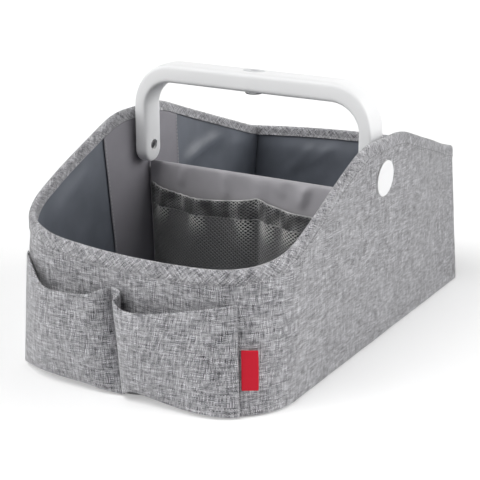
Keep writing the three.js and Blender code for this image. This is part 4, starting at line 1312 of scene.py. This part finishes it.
def touch_button():
    """The oval face in the bar's top, the flange that keeps it in and the stem on the switch."""
    low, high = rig.box("touch_button")
    shoulder, flange = BAR_TOP - 0.0028, 0.0012
    bm = oval(BUTTON_LENGTH / 2, BUTTON_WIDTH / 2, shoulder - flange, high.z - 0.0001)
    top = max(bm.faces, key=lambda face: face.calc_center_median().z)
    bmesh.ops.bevel(
        bm, geom=list(top.edges), offset=0.0005, segments=3, profile=0.5, affect="EDGES", material=-1)
    top = max(bm.faces, key=lambda face: face.calc_center_median().z)
    for _ in range(3):
        bmesh.ops.inset_individual(bm, faces=[top], thickness=0.0016, depth=0.00002)
    rim = oval(BUTTON_LENGTH / 2 + 0.0015, CAVITY_HALF_WIDTH - 0.0003, shoulder - flange, shoulder)
    radius, edge = 0.0025, 0.0003
    stem = turned(
        [(0, low.z), (radius - edge, low.z), (radius, low.z + edge), (radius, shoulder - flange),
         (0, shoulder - flange)],
        Matrix.Translation((0, PIVOT.y, 0)), 32,
    )
    crisp(make_piece(bm, "touch_button_face", pale, "button", "pale_plastic", ["touch_button"]))
    crisp(make_piece(rim, "touch_button_flange", pale, "button", "pale_plastic"))
    crisp(make_piece(stem, "touch_button_stem", pale, "button", "pale_plastic"))


def light_lens():
    """The clear dome under the bar and the plated ring round it."""
    low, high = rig.box("light_lens")
    under_bar = Matrix.Translation((0, PIVOT.y, 0))
    radius, wall = 0.005, 0.0014
    drop, flange = BAR_FOOT - low.z, PLATE_HIGH.z + PLATE_CLEARANCE
    dome = quarter_round(10)
    outer = [(radius * sine, BAR_FOOT - drop * cosine) for sine, cosine in dome]
    inner = [((radius - wall) * sine, BAR_FOOT - (drop - wall) * cosine) for sine, cosine in dome]
    collar = [(radius, flange), (high.x, flange), (high.x, high.z), (radius - wall, high.z)]
    bm = turned(outer + collar + inner[::-1], under_bar, 48)
    crisp(make_piece(bm, "light_lens_dome", clear, "handle", "clear_plastic", ["light_lens"]))

    low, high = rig.box("lens_ring")
    inside, outside, edge, bead = 0.0053, high.x, 0.0003, 0.0012
    profile = [(inside, low.z + edge), (inside + edge, low.z)]
    for sine, cosine in quarter_round(8):
        profile.append((outside - bead * (1 - sine), low.z + bead * (1 - cosine)))
    profile += [(outside, high.z), (inside, high.z), (inside, low.z + edge)]
    bm = turned(profile, under_bar, 48)
    crisp(make_piece(bm, "lens_ring_bead", chrome, "handle", "chrome", ["lens_ring"]))


# Divider

COVER_LOW, COVER_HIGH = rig.box("divider_cover")
MESH_LOW, MESH_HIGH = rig.box("mesh_pocket")
HEM_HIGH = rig.box("mesh_hem")[1]
DIVIDER_Y = (COVER_LOW.y + COVER_HIGH.y) / 2
COVER_HALF = (COVER_HIGH.y - COVER_LOW.y) / 2
COVER_GAP = 0.0074
DIVIDER_CLOTH = 0.0008
DIVIDER_LOOSENESS = 0.0016
BEHIND_MESH = 0.15
DIVIDER_FOLDS = (
    ((-0.079, 0.136), (-0.083, 0.11), 0.002, 0.0045), ((-0.037, 0.135), (-0.033, 0.104), 0.003, 0.0042),
    ((-0.005, 0.135), (0.001, 0.108), 0.0025, 0.004), ((0.05, 0.137), (0.042, 0.108), 0.0032, 0.0045),
    ((0.018, 0.132), (0.024, 0.116), 0.0016, 0.004), ((0.083, 0.137), (0.088, 0.11), 0.0022, 0.005),
)
STRIP_GAP = 0.0067
STRIP = 0.0005


def between_walls(gap, z):
    """Half the width that is left between the leaning walls at a height, less a gap on each side."""
    return HALF_WIDTH - gap + SIDE_FLARE / RIM_PEAK * z * (1 - gap / HALF_WIDTH)


def divider_crease(x, z):
    """Soft creases that run down from the divider's top edge, faint behind the mesh."""
    crease = wander(x * 30 + z * 9, z * 11 - x * 4, 21.0) + 0.4 * wander(x * 70, z * 26, 23.0)
    loose = DIVIDER_LOOSENESS * max(crease, -0.25) + creased(x, z, DIVIDER_FOLDS)
    return loose * mix(BEHIND_MESH, 1.0, smooth(z, HEM_HIGH.z - 0.018, HEM_HIGH.z))


def divider_cover():
    """Cloth folded over the divider's board, from the foot of its front to the foot of its back."""
    flat = COVER_HIGH.z - COVER_HALF - COVER_LOW.z
    total = 2 * flat + math.pi * COVER_HALF

    def place(u, v):
        run = v * total
        if run <= flat:
            y, z = -COVER_HALF, COVER_LOW.z + run
        elif run >= total - flat:
            y, z = COVER_HALF, COVER_LOW.z + total - run
        else:
            angle = (run - flat) / COVER_HALF
            y, z = -COVER_HALF * math.cos(angle), COVER_HIGH.z - COVER_HALF * (1 - math.sin(angle))
        half = between_walls(COVER_GAP, z)
        side = 2 * u - 1
        x = math.copysign(abs(math.sin(side * math.pi / 2)) ** 0.8, side) * half
        into = (abs(x) - (half - COVER_HALF)) / COVER_HALF
        if into > 0:
            y *= math.sqrt(max(1 - min(into, 1.0) ** 2, 0.0))
        held = smooth(half - abs(x), 0.002, 0.02) * smooth(COVER_HIGH.z - z, 0.0, 0.007)
        y += math.copysign(divider_crease(x, z) * held, y)
        return Vector((x, DIVIDER_Y + y, z)), (x + 1, run)

    # The divider takes the lighter copy of the cloth: painted light.
    piece, area = sheet_piece(
        "divider_cloth", (96, 88), place, painted_light_divider_cloth, "divider", "panel_cloth", ["divider_cover"], DIVIDER_CLOTH)
    wide = max(2 * between_walls(COVER_GAP, COVER_HIGH.z), area / total)
    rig.sheet(piece, flat=(wide, total), held="folded", rests_on=["divider_board"], area=area)
    return piece


def hook_strip(name, side, cover):
    low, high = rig.box(name)

    def place(u, v):
        z = mix(low.z, high.z, v)
        y = mix(low.y, high.y, u if side < 0 else 1 - u)
        return Vector((side * between_walls(STRIP_GAP + STRIP, z), y, z)), (u * (high.y - low.y), z)

    piece, _ = sheet_piece(f"{name}_cloth", (6, 30), place, painted_light_divider_cloth, "divider", "panel_cloth", [name], STRIP)
    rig.sheet(piece, flat=(high.y - low.y, high.z - low.z), held="laid", rests_on=[cover])


# Mesh pocket

MESH_STAND = 0.0006
MESH_BULGE = 0.0095
MESH_SAG = 0.0065
MESH_FOLD = 0.0026
MESH_CUT = 1.15
HEM_AT_SEAMS, HEM_IN_BAYS = 0.0195, 0.0155
NET_PITCH = 0.0042
HEM_PITCH = 0.004
NET_HEIGHT = 0.8
NET_STRAND = 0.00125
PLY = 0.0002
PLY_GAP = 0.0013
# Tone of the ply; it is painted darker behind the strands' painted highlights.
PLY_SHADE = 0.58
TAPE_SHADE = 0.1
MESH_RIDGES = (-0.1006, -0.0598, -0.0128, 0.0109, 0.0376, 0.067, 0.098)
RIDGE_WIDTH = 0.0105
RIDGE_DRIFT = 0.008
FOLD_LENGTH = 0.035
# How far below the hem the painted highlight on the fold ridges reaches.
PAINTED_HIGHLIGHT_REACH = 0.014
FRILL, FRILL_LENGTH = 0.0009, 0.0085
HEM_PUFF = 0.0009
THREAD_STAND = 0.0006


def mesh_half(z):
    return between_walls(COVER_GAP, z) - COVER_HALF


def mesh_fullness(share):
    """How far the mesh stands off the divider: not at all at its ends and middle seam, most in each bay."""
    return abs(math.sin(2 * math.pi * share)) ** 0.8


def hem_top(share):
    return HEM_HIGH.z - MESH_SAG * mesh_fullness(share)


def hem_foot(share):
    return hem_top(share) - mix(HEM_AT_SEAMS, HEM_IN_BAYS, mesh_fullness(share))


def mesh_ridge(x, below):
    """Fan folds that start at the hem: 1 along a ridge and -1 in a furrow."""
    drift = RIDGE_DRIFT * wander(x * 14, below * 16, 31.0) * smooth(below, 0.0, 0.02)
    spread = RIDGE_WIDTH + 0.12 * below
    return 2 * max(math.exp(-((x - ridge - drift) / spread) ** 2) for ridge in MESH_RIDGES) - 1


def sewn_down(x, z):
    """0 at the mesh's ends and middle seam, 1 away from them."""
    return smooth(min(abs(x), mesh_half(z) - abs(x)), 0.0, 0.012)


def mesh_front(u, v):
    """Place on the pocket's front, and the strands' tone there, with a painted highlight on the fold ridges just below
    the hem and painted sheen along diagonal streaks.
    """
    z = mix(MESH_LOW.z, hem_foot(u), v)
    x = (2 * u - 1) * mesh_half(z)
    below = hem_foot(u) - z
    ridge = mesh_ridge(x, below)
    swell = mix(smooth(z, MESH_LOW.z - 0.004, MESH_LOW.z + 0.03), 1.0, 0.35)
    swell *= smooth(z, MESH_LOW.z, MESH_LOW.z + 0.012)
    fold = MESH_FOLD * ridge * sewn_down(x, z) * math.exp(-below / FOLD_LENGTH)
    stand = max(MESH_BULGE * mesh_fullness(u) + fold, 0.0) * swell
    # The strands' tone: painted highlight on the fold ridges just below the hem, and painted sheen along diagonal
    # streaks.
    lit = max(ridge, 0.0)
    streak = max(wander((x + z) * 30, (x - z) * 7, 33.0), 0.0)
    shine = 0.4 + 0.7 * lit ** 0.5 * math.exp(-(below / PAINTED_HIGHLIGHT_REACH) ** 2) + 0.3 * streak
    return Vector((x, MESH_HIGH.y - MESH_STAND - stand, z)), min(shine, 1.0)


def hem_front(u, v, stand_off):
    """Place on the frilled hem, and the strands' tone there: random patches, and a painted highlight along its top
    edge.
    """
    z = mix(hem_foot(u), hem_top(u), v)
    x = (2 * u - 1) * mesh_half(z)
    frill = FRILL * math.sin(x * 2 * math.pi / FRILL_LENGTH + 3 * wander(x * 30, 0.0, 41.0))
    stand = MESH_BULGE * mesh_fullness(u) + MESH_FOLD * mesh_ridge(x, 0.0) * sewn_down(x, z) * (1 - 0.6 * v)
    stand += frill * mix(0.5, 1.0, v) * smooth(mesh_half(z) - abs(x), 0.0, 0.004)
    stand = max(stand + stand_off * math.sin(math.pi * v) ** 0.5, 0.0)
    # Random patches, and a painted highlight along the hem's top edge.
    shine = 0.42 + 0.6 * wander((x + z) * 48, (x - z) * 60, 43.0) + 0.4 * smooth(v, 0.82, 1.0)
    return Vector((x, MESH_HIGH.y - MESH_STAND - stand, z)), min(max(shine, 0.1), 1.0)


def mesh_sheet(columns, rows, place, knitted):
    """A sheet with a tone at each point, painted light included; where it is knitted, it is poked into a net of
    diamonds.
    """
    bm = bmesh.new()
    bmesh.ops.create_grid(bm, x_segments=columns, y_segments=rows, size=0.5)
    if knitted:
        squares = [edge for edge in bm.edges if not edge.is_boundary]
        bmesh.ops.poke(bm, faces=bm.faces[:])
        bmesh.ops.dissolve_edges(bm, edges=squares, use_verts=False)
    shine = bm.verts.layers.float.new("shine")
    for vert in bm.verts:
        vert.co, vert[shine] = place(vert.co.x + 0.5, vert.co.y + 0.5)
    return bm


def strands(piece):
    """Turns a net's edges into knitted strands."""
    wire = piece.modifiers.new("strands", "WIREFRAME")
    wire.thickness = NET_STRAND
    wire.use_even_offset = False
    wire.use_boundary = True
    return piece


def mesh_pocket(cover):
    wide = 2 * mesh_half(HEM_HIGH.z)
    tall = HEM_HIGH.z - MESH_SAG - HEM_IN_BAYS - MESH_LOW.z
    bm = mesh_sheet(round(wide / NET_PITCH), round(tall / (NET_PITCH * NET_HEIGHT)), mesh_front, True)
    face = strands(make_piece(bm, "mesh_pocket_net", net, "divider", "mesh_cloth", ["mesh_pocket"]))

    def behind(u, v):
        point, shine = mesh_front(u, v)
        point.y = min(point.y + PLY_GAP, MESH_HIGH.y - 0.0001)
        # The ply is darker where the strands carry their painted highlight: painted shade behind the lit patches.
        return point, max(PLY_SHADE * (1.3 - 1.3 * shine), 0.0)

    bm = mesh_sheet(90, 30, behind, False)
    ply = thicken(make_piece(bm, "mesh_pocket_ply", net, "divider", "mesh_cloth"), PLY)
    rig.sheet(ply, flat=(wide * MESH_CUT, tall), held="gathered", rests_on=[cover], with_pieces=[face])


def mesh_hem(cover):
    """Elastic tape with net on both faces, sewn along its top and along its foot."""
    wide = 2 * mesh_half(HEM_HIGH.z)
    on_tape = []
    for name, stand_off, nodes in (("front", HEM_PUFF, ["mesh_hem"]), ("back", -HEM_PUFF, [])):
        bm = mesh_sheet(round(wide / HEM_PITCH), 6, lambda u, v: hem_front(u, v, stand_off), True)
        on_tape.append(strands(make_piece(bm, f"mesh_hem_{name}_net", net, "divider", "mesh_cloth", nodes)))
    for row, v in (("top", 1.0), ("foot", 0.0)):
        on_tape.append(stitches(
            f"mesh_hem_{row}_stitches",
            lambda run: hem_front(run / wide, v, 0.0)[0] + Vector((0, -THREAD_STAND, 0)),
            wide - STITCH_LENGTH, lambda run: Vector((0, -1, 0)), pale_thread, "divider", "mesh_cloth",
        ))

    def tape(u, v):
        point, _ = hem_front(u, v, 0.0)
        return point, TAPE_SHADE

    bm = mesh_sheet(90, 6, tape, False)
    piece = thicken(make_piece(bm, "mesh_hem_tape", net, "divider", "mesh_cloth"), PLY)
    cut = (wide * MESH_CUT, HEM_AT_SEAMS)
    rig.sheet(piece, flat=cut, held="gathered", rests_on=[cover], with_pieces=on_tape)


# Build

WRAP_BOARDS = ["left_board", "front_stiffener", "right_board"]
front_board("front_board")
floor_sheet("base_stiffener", "base_board", board, "stiff_board", True, inset=0.018)
outer_wrap = outer_sheet("outer_wrap_cloth", 0.0, WRAP_LENGTH, 300, "outer_wrap", WRAP_BOARDS)
back_panel = outer_sheet("back_panel_cloth", WRAP_LENGTH, BACK_RUN, 48, "back_panel", ["back_board"])
floor_sheet("base_cloth", "base_panel", heather, "heather_cloth", False, "stretched", FOOT_TURN)
binding_tape("rim_tape", 0.0, WRAP_LENGTH, 320, "rim_binding", [outer_wrap])
binding_tape("back_tape", WRAP_LENGTH, BACK_RUN, 60, "back_binding", [back_panel])
wrap_lining = lining_sheet("wrap_lining_cloth", 0.0, WRAP_LENGTH, 220, "wrap_lining", WRAP_BOARDS)
lining_sheet("back_lining_cloth", WRAP_LENGTH, BACK_RUN, 60, "back_lining", ["back_board"])
floor_sheet("base_lining_cloth", "base_lining", lining, "lining_cloth", True, "laid")
side_panel("left_side_panel_cloth", "left_side_panel", -1, wrap_lining)
side_panel("right_side_panel_cloth", "right_side_panel", 1, wrap_lining)
front_pocket("left_pocket_cloth", "left_pocket", LEFT_GUSSET, LEFT_FRONT, 11.0, outer_wrap)
right_pocket = front_pocket(
    "right_pocket_cloth", "right_pocket", RIGHT_GUSSET, RIGHT_FRONT, 13.0, outer_wrap)
right_end_stitches()
red_tab(right_pocket)
for side_name, side in (("left", -1), ("right", 1)):
    pivot_cap(side_name, side)
    arm_screw(side_name, side)
handle_bow()
touch_button()
light_lens()
divider = divider_cover()
hook_strip("left_hook_strip", -1, divider)
hook_strip("right_hook_strip", 1, divider)
mesh_pocket(divider)
mesh_hem(divider)

PLAIN_NODES = {
    board: ["left_board", "right_board", "back_board", "divider_board"],
    pale: ["left_pivot_washer", "right_pivot_washer"],
    white: ["light_plate"],
    steel: ["left_plate_screw", "right_plate_screw", "inner_contact", "outer_contact",
            "button_cell_1", "button_cell_2", "button_cell_3"],
    clear: ["led"],
    circuit: ["circuit_board"],
    black: ["touch_switch"],
}
for material, names in PLAIN_NODES.items():
    for name in names:
        node = frame["nodes"][name]
        node.data.materials.clear()
        node.data.materials.append(material)


# Floor, light and camera

FLOOR_COLOR = (0.8, 0.8, 0.8, 1)
FLOOR_GLOW = 0.35
SKY = 0.05

# Suns: the way round from the front towards the right and the tilt from straight down, in degrees, the
# strength, and how wide each is
LAMPS = (
    ("right_light", 90, 75, 0.5, 50),
    ("right_back_light", 115, 70, 2.0, 50),
    ("left_front_light", -50, 70, 1.5, 50),
    ("back_light", 180, 60, 0.45, 60),
    ("overhead_light", -22, 33, 1.5, 40),
)


def shows_white(tree):
    """1 for what the camera, a reflection or a clear piece sees directly, and 0 for light on the object."""
    path = put(tree, "LightPath")
    mirrored = calc(tree, "MAXIMUM", path.outputs["Is Glossy Ray"], path.outputs["Is Transmission Ray"])
    return calc(tree, "MAXIMUM", path.outputs["Is Camera Ray"], mirrored)


def make_floor():
    bm = bmesh.new()
    bmesh.ops.create_grid(bm, x_segments=1, y_segments=1, size=12)
    mesh = bpy.data.meshes.new("floor")
    bm.to_mesh(mesh)
    bm.free()
    ground = bpy.data.objects.new("floor", mesh)
    ground.location.z = -0.0002
    bpy.context.scene.collection.objects.link(ground)
    material, tree, shader = finish(
        "pale_floor", {"Base Color": FLOOR_COLOR, "Roughness": 0.9, "Specular IOR Level": 0.0})
    glow = put(tree, "Emission", {"Strength": calc(tree, "MULTIPLY", shows_white(tree), FLOOR_GLOW)})
    both = put(tree, "AddShader", {0: shader.outputs[0], 1: glow.outputs[0]})
    tree.links.new(both.outputs[0], tree.nodes["Material Output"].inputs["Surface"])
    mesh.materials.append(material)
    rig.stage(ground)


def make_light():
    world = bpy.data.worlds.new("studio")
    bpy.context.scene.world = world
    world.use_nodes = True
    tree = world.node_tree
    background = tree.nodes["Background"]
    background.inputs["Color"].default_value = (1, 1, 1, 1)
    strength = calc(tree, "MULTIPLY_ADD", shows_white(tree), 1 - SKY, SKY)
    tree.links.new(strength, background.inputs["Strength"])
    for name, turn, tilt, power, softness in LAMPS:
        lamp = bpy.data.lights.new(name, "SUN")
        lamp.energy = power
        lamp.angle = math.radians(softness)
        light = bpy.data.objects.new(name, lamp)
        light.rotation_euler = (math.radians(tilt), 0, math.radians(turn))
        bpy.context.scene.collection.objects.link(light)


def make_camera():
    camera = bpy.data.objects.new("camera", bpy.data.cameras.new("camera"))
    camera.location = CAMERA_PLACE
    camera.rotation_euler = (math.pi / 2 - CAMERA_PITCH, 0, CAMERA_TURN)
    camera.data.lens = CAMERA_LENS
    camera.data.sensor_width = CAMERA_SENSOR
    bpy.context.scene.collection.objects.link(camera)
    bpy.context.scene.camera = camera


make_floor()
make_light()
make_camera()
bpy.context.scene.view_settings.view_transform = "Standard"

with open("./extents.json", "w") as sizes:
    json.dump({"cad": CAD_BOX, "visual": [list(corner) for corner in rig.bounds()]}, sizes)
